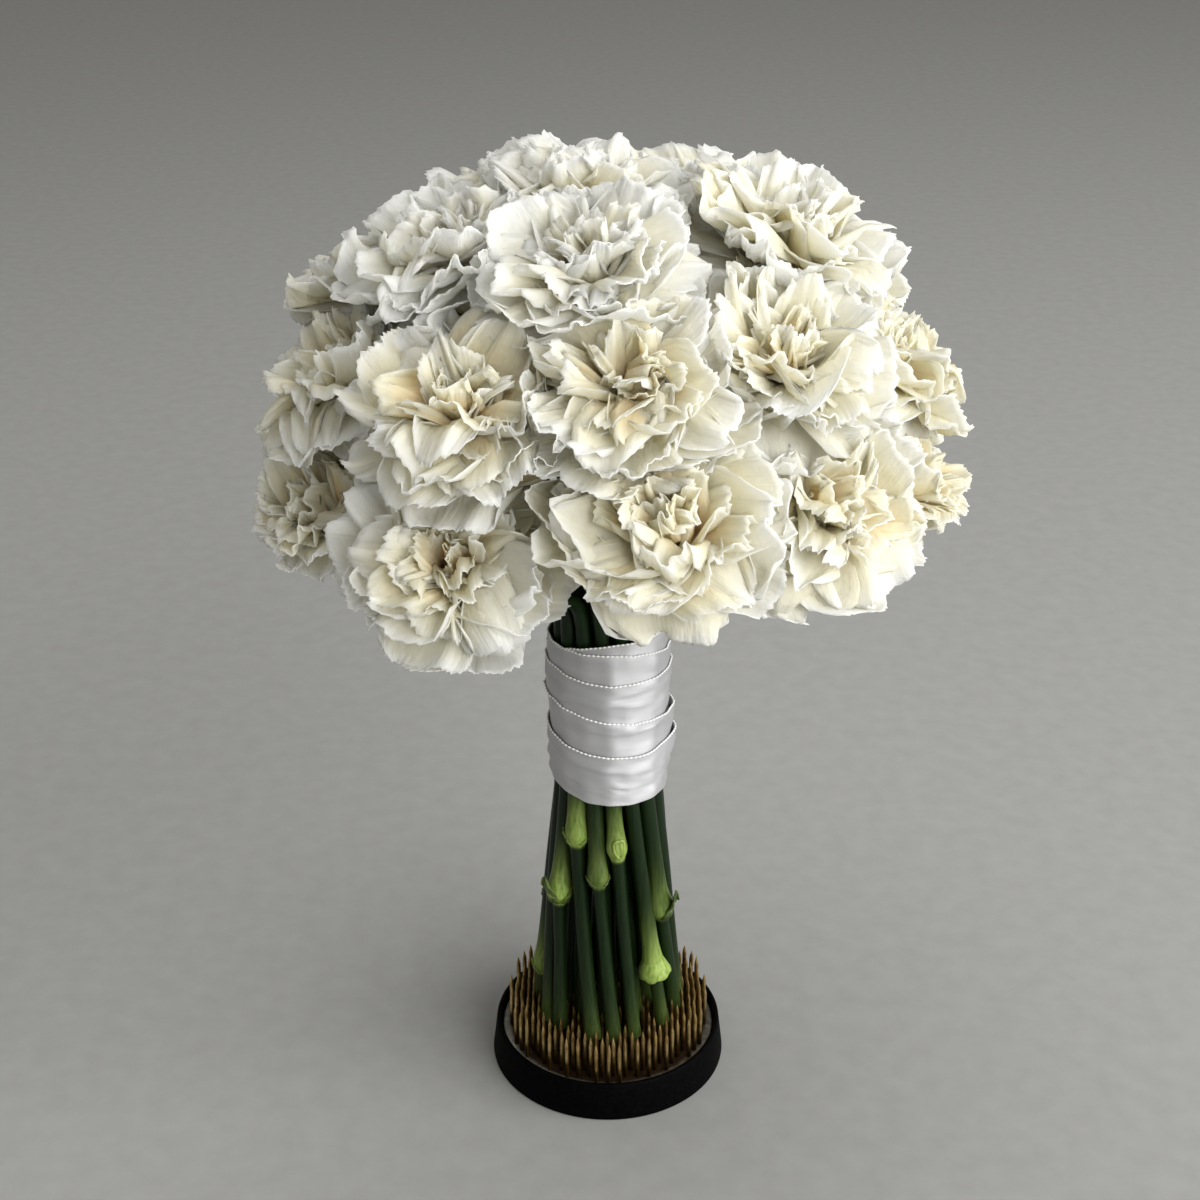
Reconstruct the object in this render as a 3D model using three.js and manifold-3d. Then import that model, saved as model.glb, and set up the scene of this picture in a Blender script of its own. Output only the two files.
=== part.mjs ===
// A tied bunch of cream carnations, standing upright with its stem ends pressed onto a round pin holder.
// Millimetres, +Z up, the front of the bunch towards -Y. The origin is the middle of the holder's foot.
import * as THREE from "three";
import { mergeVertices } from "three/addons/utils/BufferGeometryUtils.js";
import Module from "manifold-3d";

// Pin holder: a heavy round plate set with pins, in a rubber ring
const CLEARANCE = 0.3;
const PLATE_RADIUS = 40;
const PLATE_TOP = 12;
const RING_FOOT_RADIUS = 44;
const RING_TOP_RADIUS = 43;
const RING_HEIGHT = 15;
const RING_EDGE = 1;
const RING_SIDES = 24;
const PIN_TIP = 29.5;
const PIN_RADIUS = 1.1;
const PIN_SINK = 1;
const PIN_PITCH = 5.4;
const PIN_FIELD_RADIUS = 37.5;
const PIN_TO_STEM = 5;
const PIN_HOLE_RADIUS = 2.3;
const PIN_HOLE_TIP = 32.5;

// Stems, and the ribbon that holds them
const STEM_FOOT = 25;
const STEM_RADIUS = 3.1;
const STEM_FOOT_RADIUS = 3.6;
const STEM_NECK_RADIUS = 2.3;
const STEM_SIDES = 5;
const JOINT_RADIUS = 4.5;
const JOINT_HALF_LENGTH = 5;
const JOINT_MIDDLE_HEIGHT = 58;
const JOINT_HEIGHT_RANGE = 24;
const JOINT_STEP = 2.4;
const RIBBON_BOTTOM = 120;
const RIBBON_TOP = 180;
const RIBBON_TURNS = 4;
const FAN_START = 188;
const RIBBON_EASE = 0.7;
const RIBBON_THICKNESS = 0.9;
const RIBBON_LIP = 0.7;
const RIBBON_STEP = 0.5;
const RIBBON_SIDES = 16;
const OUTER_STEMS = 16;
const MIDDLE_STEMS = 9;
const TWIST_IN_RIBBON = -13;
const TWIST_BELOW = 22;
const SPREAD_AT_FOOT = 1.45;

// Head of blooms: their middles lie on an egg-shaped surface, and each faces away from a point in the bundle
const HEAD_MIDDLE = new THREE.Vector3(0, 0, 236);
const HEAD_RADIUS = 89;
const HEAD_HALF_HEIGHT = 84;
const FAN_ORIGIN = new THREE.Vector3(0, 0, 160);

// Each bloom: azimuth and elevation on the head in degrees, and its size
const BLOOMS = [
  [-156, -2, 1.0], [-120, 2, 1.0], [-80, 12, 1.05], [-49, 10, 1.0], [-14, -2, 1.0],
  [18, 0, 1.0], [48, 6, 1.0], [78, 2, 1.0], [108, 6, 1.0], [138, 2, 1.0], [166, 6, 1.0],
  [-162, 26, 0.95], [-120, 30, 1.0], [-86, 36, 1.0], [-48, 38, 1.0], [0, 22, 1.0],
  [34, 36, 1.0], [68, 34, 1.0], [102, 36, 1.0], [138, 34, 1.0], [170, 40, 1.0],
  [-158, 56, 1.0], [-98, 62, 1.0], [-8, 56, 1.15], [56, 58, 1.0], [128, 62, 1.0], [180, 86, 0.95],
];

// One bloom, in its own frame: +Z along its axis and the origin at its middle
const CALYX_TOP = -6;
const CALYX_LENGTH = 26;
const CALYX_SHOULDER = 10;
const CALYX_SHOULDER_RADIUS = 5.7;
const CALYX_TOP_RADIUS = 6.4;
const CORE_PROFILE = [[0, CALYX_TOP + CLEARANCE], [4.2, CALYX_TOP + CLEARANCE], [8.5, 6], [0, 16]];
const CORE_SIDES = 5;
const PETAL_THICKNESS = 0.8;
// Layers of petals from the outside in: how many, root, middle and rim as [radius, height], and half the spread
const LAYERS = [
  { count: 4, root: [2, -2], middle: [19, 3], rim: [35, -3], halfAngle: 42 },
  { count: 4, root: [2, 4], middle: [14, 13], rim: [29, 17], halfAngle: 42 },
  { count: 2, root: [1.5, 9], middle: [6, 19], rim: [15, 28], halfAngle: 70 },
];
const LAYER_TURN = 45;
const RIM_POINTS = 5;
const RIM_WAVE = 2.8;
const RIM_TOOTH = 1.6;
const BLOOM_ROLL = 2.1;
const CELL_SOFT_START = 0.6;
const CELL_RAISE = 0.6;

const PETAL_COLOURS = { left: 0xf3f1e4, right: 0xefe6c4 };
const STEM_COLOUR = 0x5f7f63;
const RIBBON_COLOUR = 0xeef0f0;
const RUBBER_COLOUR = 0x161616;
const BRASS_COLOUR = 0xb08d4c;

const { degToRad } = THREE.MathUtils;
const UP = new THREE.Vector3(0, 0, 1);
const wasm = await Module();
wasm.setup();

const group = new THREE.Group();

// A closed geometry as a solid that can be joined and cut.
function solidFrom(geometry) {
  const bare = geometry.clone();
  bare.deleteAttribute("normal");
  bare.deleteAttribute("uv");
  const merged = mergeVertices(bare, 1e-3);
  return new wasm.Manifold(new wasm.Mesh({
    numProp: 3,
    vertProperties: merged.attributes.position.array,
    triVerts: new Uint32Array(merged.index.array),
  }));
}

// A solid as a named mesh in the group.
function addPiece(name, solid, material) {
  const { vertProperties, triVerts } = solid.getMesh();
  const geometry = new THREE.BufferGeometry();
  geometry.setAttribute("position", new THREE.BufferAttribute(vertProperties, 3));
  geometry.setIndex(new THREE.BufferAttribute(triVerts, 1));
  geometry.computeVertexNormals();
  const mesh = new THREE.Mesh(geometry, material);
  mesh.name = name;
  group.add(mesh);
  return mesh;
}

// A profile of [radius, height] points turned about +Z.
function turned(profile, sides) {
  const points = profile.map(([radius, height]) => new THREE.Vector2(radius, height));
  return new THREE.LatheGeometry(points, sides).rotateX(Math.PI / 2);
}

function fromPolar(radius, angle, height) {
  return new THREE.Vector3(radius * Math.cos(angle), radius * Math.sin(angle), height);
}

// The middle and axis of a bloom from its direction on the head.
function placeBloom([azimuth, elevation, size]) {
  const flat = HEAD_RADIUS * Math.cos(degToRad(elevation));
  const rise = HEAD_HALF_HEIGHT * Math.sin(degToRad(elevation));
  const middle = fromPolar(flat, degToRad(azimuth), rise).add(HEAD_MIDDLE);
  const axis = middle.clone().sub(FAN_ORIGIN).normalize();
  return { azimuth: degToRad(azimuth), elevation, size, middle, axis };
}

// Gives the highest blooms the innermost places in the bundle, and the rest places by azimuth in each ring.
function assignPlaces(blooms) {
  const spacing = STEM_RADIUS + CLEARANCE / 2;
  const byHeight = [...blooms].sort((a, b) => a.elevation - b.elevation);
  const rings = [
    { members: byHeight.slice(0, OUTER_STEMS), radius: spacing / Math.sin(Math.PI / OUTER_STEMS) },
    { members: byHeight.slice(OUTER_STEMS, OUTER_STEMS + MIDDLE_STEMS), radius: spacing * 3 },
    { members: byHeight.slice(OUTER_STEMS + MIDDLE_STEMS), radius: spacing },
  ];
  for (const { members, radius } of rings) {
    const step = (2 * Math.PI) / members.length;
    members.sort((a, b) => a.azimuth - b.azimuth);
    const offsets = members.map((bloom, index) => bloom.azimuth - index * step);
    const start = Math.atan2(
      offsets.reduce((sum, angle) => sum + Math.sin(angle), 0),
      offsets.reduce((sum, angle) => sum + Math.cos(angle), 0),
    );
    members.forEach((bloom, index) => {
      bloom.place = { radius, angle: start + index * step, outer: radius > spacing * 4 };
    });
  }
}

// Where a stem's middle line passes at a height in or below the ribbon, or just above it.
function bundlePoint({ radius, angle }, height) {
  const inRibbon = (height - RIBBON_TOP) / (RIBBON_TOP - RIBBON_BOTTOM);
  const below = Math.max(0, (RIBBON_BOTTOM - height) / (RIBBON_BOTTOM - STEM_FOOT));
  const turn = degToRad(TWIST_IN_RIBBON * Math.max(inRibbon, -1) + TWIST_BELOW * below);
  const spread = 1 + (SPREAD_AT_FOOT - 1) * below;
  return fromPolar(radius * spread, angle + turn, height);
}

// The stem's radius at a height: stout at the foot, even in the ribbon and slim below the bloom.
function stemRadius(height) {
  const low = THREE.MathUtils.smoothstep(height, STEM_FOOT, RIBBON_BOTTOM - 15);
  const high = THREE.MathUtils.smoothstep(height, RIBBON_TOP - 5, FAN_START + 15);
  return STEM_FOOT_RADIUS + (STEM_RADIUS - STEM_FOOT_RADIUS) * low + (STEM_NECK_RADIUS - STEM_RADIUS) * high;
}

// The rings of a stem from its cut end up through the ribbon to the top of its calyx, as points with radii.
// Only the stems on the outside of the bundle show a joint.
function stemRings(bloom, jointHeight) {
  const heights = [STEM_FOOT, RIBBON_BOTTOM - 10, RIBBON_BOTTOM + 20, RIBBON_TOP - 20, RIBBON_TOP, FAN_START];
  if (bloom.place.outer) {
    heights.push(jointHeight - JOINT_HALF_LENGTH, jointHeight, jointHeight + JOINT_HALF_LENGTH);
    heights.sort((a, b) => a - b);
  }
  const rings = heights.map((height) => ({
    point: bundlePoint(bloom.place, height),
    radius: height === jointHeight ? JOINT_RADIUS : stemRadius(height),
  }));
  const [below, start] = rings.slice(-2).map(({ point }) => point);
  const end = bloom.middle.clone().addScaledVector(bloom.axis, CALYX_TOP - CALYX_LENGTH);
  const reach = start.distanceTo(end) / 2.6;
  const lean = start.clone().sub(below).normalize();
  const fan = new THREE.CubicBezierCurve3(
    start,
    start.clone().addScaledVector(lean, reach),
    end.clone().addScaledVector(bloom.axis, -reach),
    end,
  );
  fan.getPoints(4).slice(1).forEach((point) => rings.push({ point, radius: stemRadius(point.z) }));
  const shoulder = end.clone().addScaledVector(bloom.axis, CALYX_SHOULDER);
  const top = end.clone().addScaledVector(bloom.axis, CALYX_LENGTH);
  rings.push({ point: shoulder, radius: CALYX_SHOULDER_RADIUS }, { point: top, radius: CALYX_TOP_RADIUS });
  return rings;
}

// A smooth path that an extrusion steps along from point to point, however far apart the points are.
class SteppedPath extends THREE.CatmullRomCurve3 {
  getUtoTmapping(u) {
    return u;
  }
}

// A tube through rings, with a corner of the section's unit outline moved out to each ring's radius.
function ringedTube(rings) {
  const outline = Array.from({ length: STEM_SIDES }, (_, side) => {
    const angle = (side * 2 * Math.PI) / STEM_SIDES;
    return new THREE.Vector2(Math.cos(angle), Math.sin(angle));
  });
  const path = new SteppedPath(rings.map(({ point }) => point), false, "centripetal");
  const options = { steps: rings.length - 1, bevelEnabled: false, extrudePath: path };
  const tube = new THREE.ExtrudeGeometry(new THREE.Shape(outline), options);
  const positions = tube.attributes.position;
  const corner = new THREE.Vector3();
  for (let index = 0; index < positions.count; index++) {
    corner.fromBufferAttribute(positions, index);
    const near = rings.reduce((a, b) => (corner.distanceTo(a.point) < corner.distanceTo(b.point) ? a : b));
    corner.sub(near.point).multiplyScalar(near.radius).add(near.point);
    positions.setXYZ(index, corner.x, corner.y, corner.z);
  }
  return tube;
}

// A three-sided needle standing at a place, its root sunk into the plate.
function pinSolid(place, radius, tip) {
  const length = tip - PLATE_TOP + PIN_SINK;
  const cone = new THREE.ConeGeometry(radius, length, 3).rotateX(Math.PI / 2);
  return solidFrom(cone.translate(place.x, place.y, tip - length / 2));
}

// Pin places on a hexagonal grid.
function pinPlaces() {
  const rowStep = PIN_PITCH * Math.sin(Math.PI / 3);
  const rows = Math.floor(PIN_FIELD_RADIUS / rowStep);
  const places = [];
  for (let row = -rows; row <= rows; row++) {
    const shift = row % 2 === 0 ? 0 : PIN_PITCH / 2;
    for (let column = -rows; column <= rows; column++) {
      const place = new THREE.Vector2(column * PIN_PITCH + shift, row * rowStep);
      if (place.length() <= PIN_FIELD_RADIUS) places.push(place);
    }
  }
  return places;
}

// The neighbours' limits on a bloom, as directions in its own frame with the reach allowed along each.
function cellWalls(bloom, blooms, toLocal) {
  const gap = CLEARANCE + PETAL_THICKNESS;
  return blooms.filter((other) => other !== bloom).map((other) => {
    const between = other.middle.clone().sub(bloom.middle);
    const share = bloom.size / (bloom.size + other.size);
    const reach = between.length() * share - gap / 2;
    return { direction: between.normalize().applyQuaternion(toLocal), reach };
  });
}

// Draws a point in towards the bloom's middle where it would pass a wall, and lifts it by part of the loss.
function intoCell(point, walls) {
  const gaugeOf = (place) => Math.max(...walls.map(({ direction, reach }) => place.dot(direction) / reach));
  const squeeze = (gauge) => {
    const room = 1 - CELL_SOFT_START;
    if (gauge <= CELL_SOFT_START) return gauge;
    return CELL_SOFT_START + room * (1 - Math.exp((CELL_SOFT_START - gauge) / room));
  };
  const first = gaugeOf(point);
  if (first <= CELL_SOFT_START) return point;
  const lost = Math.hypot(point.x, point.y) * (1 - squeeze(first) / first);
  point.z += CELL_RAISE * lost;
  const gauge = gaugeOf(point);
  return gauge > 0 ? point.multiplyScalar(squeeze(gauge) / gauge) : point;
}

// One petal's middle surface: a fan from one root point, past two middle points, to a waved rim with teeth.
function petalSurface(layer, turn, size, walls) {
  const row = ([radius, height], count, wave, tooth) => Array.from({ length: count }, (_, index) => {
    const across = count > 1 ? (2 * index) / (count - 1) - 1 : 0;
    const side = index % 2 === 0 ? 1 : -1;
    const angle = turn + across * degToRad(layer.halfAngle);
    const point = fromPolar(radius + side * tooth, angle, height + side * wave);
    return intoCell(point.multiplyScalar(size), walls);
  });
  const points = [
    ...row(layer.root, 1, 0, 0),
    ...row(layer.middle, 2, 0, 0),
    ...row(layer.rim, RIM_POINTS, RIM_WAVE, RIM_TOOTH),
  ];
  const rimMiddle = 3 + Math.floor(RIM_POINTS / 2);
  const triangles = [0, 1, 2, 1, rimMiddle, 2];
  for (let point = 3; point < points.length - 1; point++) {
    triangles.push(point < rimMiddle ? 1 : 2, point, point + 1);
  }
  const surface = new THREE.BufferGeometry().setFromPoints(points);
  surface.setIndex(triangles);
  surface.computeVertexNormals();
  return surface;
}

// A closed blade of even thickness about a surface, with the same triangles on both of its faces.
function bladeFrom(surface, thickness) {
  const { position, normal } = surface.attributes;
  const triangles = surface.index.array;
  const count = position.count;
  const points = [1, -1].flatMap((side) => Array.from({ length: count }, (_, index) => {
    const outward = new THREE.Vector3().fromBufferAttribute(normal, index);
    const middle = new THREE.Vector3().fromBufferAttribute(position, index);
    return middle.addScaledVector(outward, (side * thickness) / 2);
  }));
  const faces = [];
  const edges = new Map();
  for (let index = 0; index < triangles.length; index += 3) {
    const [a, b, c] = triangles.slice(index, index + 3);
    faces.push(a, b, c, a + count, c + count, b + count);
    for (const [from, to] of [[a, b], [b, c], [c, a]]) {
      if (!edges.delete(to + "-" + from)) edges.set(from + "-" + to, [from, to]);
    }
  }
  for (const [from, to] of edges.values()) {
    faces.push(from, from + count, to + count, from, to + count, to);
  }
  const blade = new THREE.BufferGeometry().setFromPoints(points);
  blade.setIndex(faces);
  return blade;
}

// One bloom: a small core with its neck in the calyx, and the layers of petals that stand out of it.
function bloomSolid(bloom, roll, walls) {
  let solid = solidFrom(turned(CORE_PROFILE, CORE_SIDES));
  LAYERS.forEach((layer, layerIndex) => {
    for (let petal = 0; petal < layer.count; petal++) {
      const turn = roll + degToRad(LAYER_TURN) * layerIndex + (petal * 2 * Math.PI) / layer.count;
      const surface = petalSurface(layer, turn, bloom.size, walls);
      solid = solid.add(solidFrom(bladeFrom(surface, PETAL_THICKNESS)));
    }
  });
  return solid;
}

// The ribbon: a sleeve round the bundle, each turn of it lapping over the turn below.
function ribbonSolid(innerRadius) {
  const turnHeight = (RIBBON_TOP - RIBBON_BOTTOM) / RIBBON_TURNS;
  const outerRadius = innerRadius + RIBBON_THICKNESS;
  const profile = [[innerRadius, RIBBON_BOTTOM]];
  for (let turn = 0; turn < RIBBON_TURNS; turn++) {
    const bottom = RIBBON_BOTTOM + turn * turnHeight;
    profile.push([outerRadius + RIBBON_LIP, bottom], [outerRadius, bottom + turnHeight - RIBBON_STEP]);
  }
  profile.push([outerRadius, RIBBON_TOP], [innerRadius, RIBBON_TOP], [innerRadius, RIBBON_BOTTOM]);
  return solidFrom(turned(profile, RIBBON_SIDES));
}

const blooms = BLOOMS.map(placeBloom);
assignPlaces(blooms);

const rubber = new THREE.MeshStandardMaterial({ color: RUBBER_COLOUR, roughness: 0.7, metalness: 0 });
const brass = new THREE.MeshStandardMaterial({ color: BRASS_COLOUR, roughness: 0.35, metalness: 1 });
const satin = new THREE.MeshStandardMaterial({ color: RIBBON_COLOUR, roughness: 0.35, metalness: 0 });
const green = new THREE.MeshStandardMaterial({ color: STEM_COLOUR, roughness: 0.6, metalness: 0 });

const ringBore = PLATE_RADIUS + CLEARANCE;
const ringProfile = [
  [ringBore, 0], [RING_FOOT_RADIUS, 0], [RING_TOP_RADIUS, RING_HEIGHT - RING_EDGE],
  [RING_TOP_RADIUS - RING_EDGE, RING_HEIGHT], [ringBore, RING_HEIGHT], [ringBore, 0],
];
addPiece("rubber_ring", solidFrom(turned(ringProfile, RING_SIDES)), rubber);

// Each stem is pressed onto a pin of its own, and no other pin stands where a stem's wall would be.
const feet = blooms.map((bloom) => bundlePoint(bloom.place, STEM_FOOT));
const clearOfStems = (pin) => feet.every((foot) => Math.hypot(pin.x - foot.x, pin.y - foot.y) > PIN_TO_STEM);
const plateProfile = [[0, 0], [PLATE_RADIUS, 0], [PLATE_RADIUS, PLATE_TOP], [0, PLATE_TOP]];
let plate = solidFrom(turned(plateProfile, RING_SIDES));
for (const pin of [...pinPlaces().filter(clearOfStems), ...feet]) {
  plate = plate.add(pinSolid(pin, PIN_RADIUS, PIN_TIP));
}
addPiece("pin_plate", plate, brass);

const bundleRadius = (STEM_RADIUS + CLEARANCE / 2) * (1 + 1 / Math.sin(Math.PI / OUTER_STEMS));
addPiece("ribbon", ribbonSolid(bundleRadius + RIBBON_EASE), satin);

blooms.forEach((bloom, index) => {
  const number = String(index + 1).padStart(2, "0");
  const jointHeight = JOINT_MIDDLE_HEIGHT + JOINT_HEIGHT_RANGE * Math.sin(index * JOINT_STEP);
  const tube = solidFrom(ringedTube(stemRings(bloom, jointHeight)));
  const pinHole = pinSolid(feet[index], PIN_HOLE_RADIUS, PIN_HOLE_TIP);
  addPiece("stem_" + number, tube.subtract(pinHole), green);

  const stand = new THREE.Quaternion().setFromUnitVectors(UP, bloom.axis);
  const toLocal = stand.clone().invert();
  const walls = cellWalls(bloom, blooms, toLocal);
  const warmth = (bloom.middle.x / HEAD_RADIUS + 1) / 2;
  const petalColour = new THREE.Color(PETAL_COLOURS.left).lerp(new THREE.Color(PETAL_COLOURS.right), warmth);
  const petals = new THREE.MeshStandardMaterial({ color: petalColour, roughness: 0.8, metalness: 0 });
  const mesh = addPiece("bloom_" + number, bloomSolid(bloom, index * BLOOM_ROLL, walls), petals);
  mesh.position.copy(bloom.middle);
  mesh.quaternion.copy(stand);
});

export default group;
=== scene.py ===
# A tied bunch of cream carnations that stands on a round pin holder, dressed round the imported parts.
# It is put together from the foot up: the holder, the stems, the ribbon, and then the blooms.
import math

import bpy
import numpy as np
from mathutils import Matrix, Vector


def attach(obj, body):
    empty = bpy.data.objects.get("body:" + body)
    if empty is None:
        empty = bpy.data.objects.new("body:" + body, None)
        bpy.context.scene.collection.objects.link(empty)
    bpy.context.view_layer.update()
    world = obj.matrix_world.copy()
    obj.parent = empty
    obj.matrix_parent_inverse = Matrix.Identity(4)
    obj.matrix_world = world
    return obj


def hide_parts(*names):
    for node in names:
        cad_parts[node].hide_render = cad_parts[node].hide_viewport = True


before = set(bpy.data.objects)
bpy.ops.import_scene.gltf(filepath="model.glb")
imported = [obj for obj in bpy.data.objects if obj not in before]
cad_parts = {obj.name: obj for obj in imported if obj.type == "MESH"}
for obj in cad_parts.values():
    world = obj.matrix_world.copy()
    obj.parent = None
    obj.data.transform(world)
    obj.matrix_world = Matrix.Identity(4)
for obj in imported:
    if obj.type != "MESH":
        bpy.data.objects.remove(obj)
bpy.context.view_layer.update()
MM = 0.001

# The camera looks down on the bunch from a little above the highest bloom, a normal lens on a full frame.
# It comes first, so that every piece can be judged from the same place.
CAMERA_PLACE = (-0.003, -0.5817, 0.4796)
CAMERA_PITCH = 26.4
CAMERA_LENS = 57
bpy.ops.object.camera_add(location=CAMERA_PLACE, rotation=(math.radians(90 - CAMERA_PITCH), 0, 0))
camera = bpy.context.object
camera.data.lens = CAMERA_LENS
bpy.context.scene.camera = camera


def linear(colour):
    """An sRGB hex colour as linear RGBA."""
    channels = [int(colour[i:i + 2], 16) / 255 for i in (1, 3, 5)]
    return tuple(c / 12.92 if c <= 0.04045 else ((c + 0.055) / 1.055) ** 2.4 for c in channels) + (1.0,)


def add_node(tree, kind, inputs=None, stops=None, **settings):
    """Adds a node with its properties, its ramp stops and its inputs, which are values or sockets to link."""
    node = tree.nodes.new(kind)
    for name, value in settings.items():
        setattr(node, name, value)
    for place, (position, colour) in enumerate(stops or []):
        elements = node.color_ramp.elements
        element = elements[place] if place < len(elements) else elements.new(position)
        element.position = position
        element.color = linear(colour)
    for name, value in (inputs or {}).items():
        if isinstance(value, bpy.types.NodeSocket):
            tree.links.new(value, node.inputs[name])
        else:
            node.inputs[name].default_value = value
    return node


def new_material(name):
    """A material that has no nodes yet, and its node tree."""
    material = bpy.data.materials.new(name)
    material.use_nodes = True
    material.node_tree.nodes.clear()
    return material, material.node_tree


# The floor is a plain pale slab, only there to stand the bunch on and to catch its shadow.
FLOOR_SIZE = 9
bpy.ops.mesh.primitive_plane_add(size=FLOOR_SIZE)
floor = bpy.context.object
floor.name = "floor"
# Honed pale stone: matt, with a faint cloudy grain about a centimetre across.
material, tree = new_material("honed pale stone")
where = add_node(tree, "ShaderNodeTexCoord")
grain = add_node(tree, "ShaderNodeTexNoise", {
    "Vector": where.outputs["Object"], "Scale": 100.0, "Detail": 2.0,
})
tint = add_node(tree, "ShaderNodeValToRGB", {"Fac": grain.outputs["Fac"]}, [
    (0.3, "#959592"), (0.7, "#9a9a98"),
])
shader = add_node(tree, "ShaderNodeBsdfPrincipled", {
    "Base Color": tint.outputs["Color"], "Roughness": 0.75, "Specular IOR Level": 0.2,
})
add_node(tree, "ShaderNodeOutputMaterial", {"Surface": shader.outputs["BSDF"]})
floor.data.materials.append(material)

# Soft studio light: a wide soft box along the right, a weak one on the left and a broad one overhead.
# Each is given as place, the point it faces, its width and height in metres and its power in watts.
LIGHTS = {
    "key": ((1.75, -1.19, 1.12), (0, 0, 0.2), 3.6, 1.95, 113),
    "fill": ((-1.3, -0.9, 0.5), (0, 0, 0.2), 1.2, 1.2, 0.6),
    "top": ((-0.1, 0.2, 1.6), (0, 0, 0.2), 1.4, 1.4, 8),
}
for name, (place, target, width, height, power) in LIGHTS.items():
    bpy.ops.object.light_add(type="AREA", location=place)
    lamp = bpy.context.object
    lamp.name = name
    lamp.data.shape = "RECTANGLE"
    lamp.data.size = width
    lamp.data.size_y = height
    lamp.data.energy = power
    aim = Vector(target) - Vector(place)
    lamp.rotation_euler = aim.to_track_quat("-Z", "Y").to_euler()
SKY_COLOUR = "#f1efea"
SKY_STRENGTH = 0.39
world = bpy.data.worlds.new("studio")
world.use_nodes = True
sky = world.node_tree.nodes["Background"]
sky.inputs["Color"].default_value = linear(SKY_COLOUR)
sky.inputs["Strength"].default_value = SKY_STRENGTH
bpy.context.scene.world = world
# Shown as a plain camera would, with no film curve, so that creams and greens keep their colour
bpy.context.scene.view_settings.view_transform = "Standard"

# The rubber ring round the plate's edge: matt black, moulded, tapering a little to a rounded top edge.
# It is a cylinder whose two caps are inset and joined into one opening, with its edges rounded off.
PLATE_RADIUS = 40 * MM
CLEARANCE = 0.3 * MM
RING_FOOT_RADIUS = 44 * MM
RING_TOP_RADIUS = 42.2 * MM
RING_HEIGHT = 15 * MM
RING_THICKNESS = RING_FOOT_RADIUS - PLATE_RADIUS - CLEARANCE
RING_SIDES = 128
RING_EDGE = 0.9 * MM
# How far a face's normal has to point up or down for the face to count as a cap
CAP_NORMAL = 0.9
SMOOTH_UNDER = math.radians(35)


def deselect_all():
    bpy.ops.object.select_all(action="DESELECT")


def dress(piece, slot, *nodes):
    """Makes a piece ride on the body and stand for its nodes, which it hides. Its slot is not used."""
    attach(piece, "root")
    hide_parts(*nodes)


def apply_modifiers(piece):
    deselect_all()
    piece.select_set(True)
    bpy.context.view_layer.objects.active = piece
    for modifier in list(piece.modifiers):
        bpy.ops.object.modifier_apply(modifier=modifier.name)


def apply_place(piece):
    deselect_all()
    piece.select_set(True)
    bpy.context.view_layer.objects.active = piece
    bpy.ops.object.transform_apply(location=True, rotation=True, scale=True)


def select_faces(piece, wanted):
    """Goes into edit mode with only the faces selected whose centre and normal pass the test."""
    deselect_all()
    piece.select_set(True)
    bpy.context.view_layer.objects.active = piece
    bpy.ops.object.mode_set(mode="EDIT")
    bpy.ops.mesh.select_mode(type="FACE")
    bpy.ops.mesh.select_all(action="DESELECT")
    bpy.ops.object.mode_set(mode="OBJECT")
    for face in piece.data.polygons:
        face.select = wanted(face.center, face.normal)
    bpy.ops.object.mode_set(mode="EDIT")


deselect_all()
bpy.ops.mesh.primitive_cylinder_add(
    vertices=RING_SIDES, radius=RING_FOOT_RADIUS, depth=RING_HEIGHT, location=(0, 0, RING_HEIGHT / 2)
)
ring = bpy.context.object
ring.name = "moulded_ring"
apply_place(ring)
select_faces(ring, lambda centre, normal: normal.z > CAP_NORMAL)
taper = RING_TOP_RADIUS / RING_FOOT_RADIUS
bpy.ops.transform.resize(value=(taper, taper, 1))
bpy.ops.mesh.inset(thickness=RING_THICKNESS - (RING_FOOT_RADIUS - RING_TOP_RADIUS))
bpy.ops.object.mode_set(mode="OBJECT")
select_faces(ring, lambda centre, normal: normal.z < -CAP_NORMAL)
bpy.ops.mesh.inset(thickness=RING_THICKNESS)
bpy.ops.object.mode_set(mode="OBJECT")
select_faces(ring, lambda centre, normal: abs(normal.z) > CAP_NORMAL and centre.xy.length < RING_THICKNESS)
bpy.ops.mesh.bridge_edge_loops()
bpy.ops.object.mode_set(mode="OBJECT")
edge = ring.modifiers.new("rounded edge", "BEVEL")
edge.width = RING_EDGE
edge.segments = 3
edge.limit_method = "ANGLE"
apply_modifiers(ring)
bpy.ops.object.shade_smooth_by_angle(angle=SMOOTH_UNDER)
# Moulded natural rubber: near black, dry and matt, with a fine grain that breaks up the highlight.
material, tree = new_material("matt black rubber")
where = add_node(tree, "ShaderNodeTexCoord")
grain = add_node(tree, "ShaderNodeTexNoise", {
    "Vector": where.outputs["Object"], "Scale": 17000.0, "Detail": 3.0,
})
dust = add_node(tree, "ShaderNodeTexNoise", {
    "Vector": where.outputs["Object"], "Scale": 680.0, "Detail": 4.0,
})
tint = add_node(tree, "ShaderNodeValToRGB", {"Fac": dust.outputs["Fac"]}, [
    (0.35, "#010101"), (0.75, "#060607"),
])
bump = add_node(tree, "ShaderNodeBump", {
    "Strength": 0.25, "Distance": 0.0002, "Height": grain.outputs["Fac"],
})
shader = add_node(tree, "ShaderNodeBsdfPrincipled", {
    "Base Color": tint.outputs["Color"], "Roughness": 0.62, "IOR": 1.5, "Specular IOR Level": 0.03,
    "Normal": bump.outputs["Normal"],
})
add_node(tree, "ShaderNodeOutputMaterial", {"Surface": shader.outputs["BSDF"]})
ring.data.materials.append(material)
dress(ring, "rubber", "rubber_ring")

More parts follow.
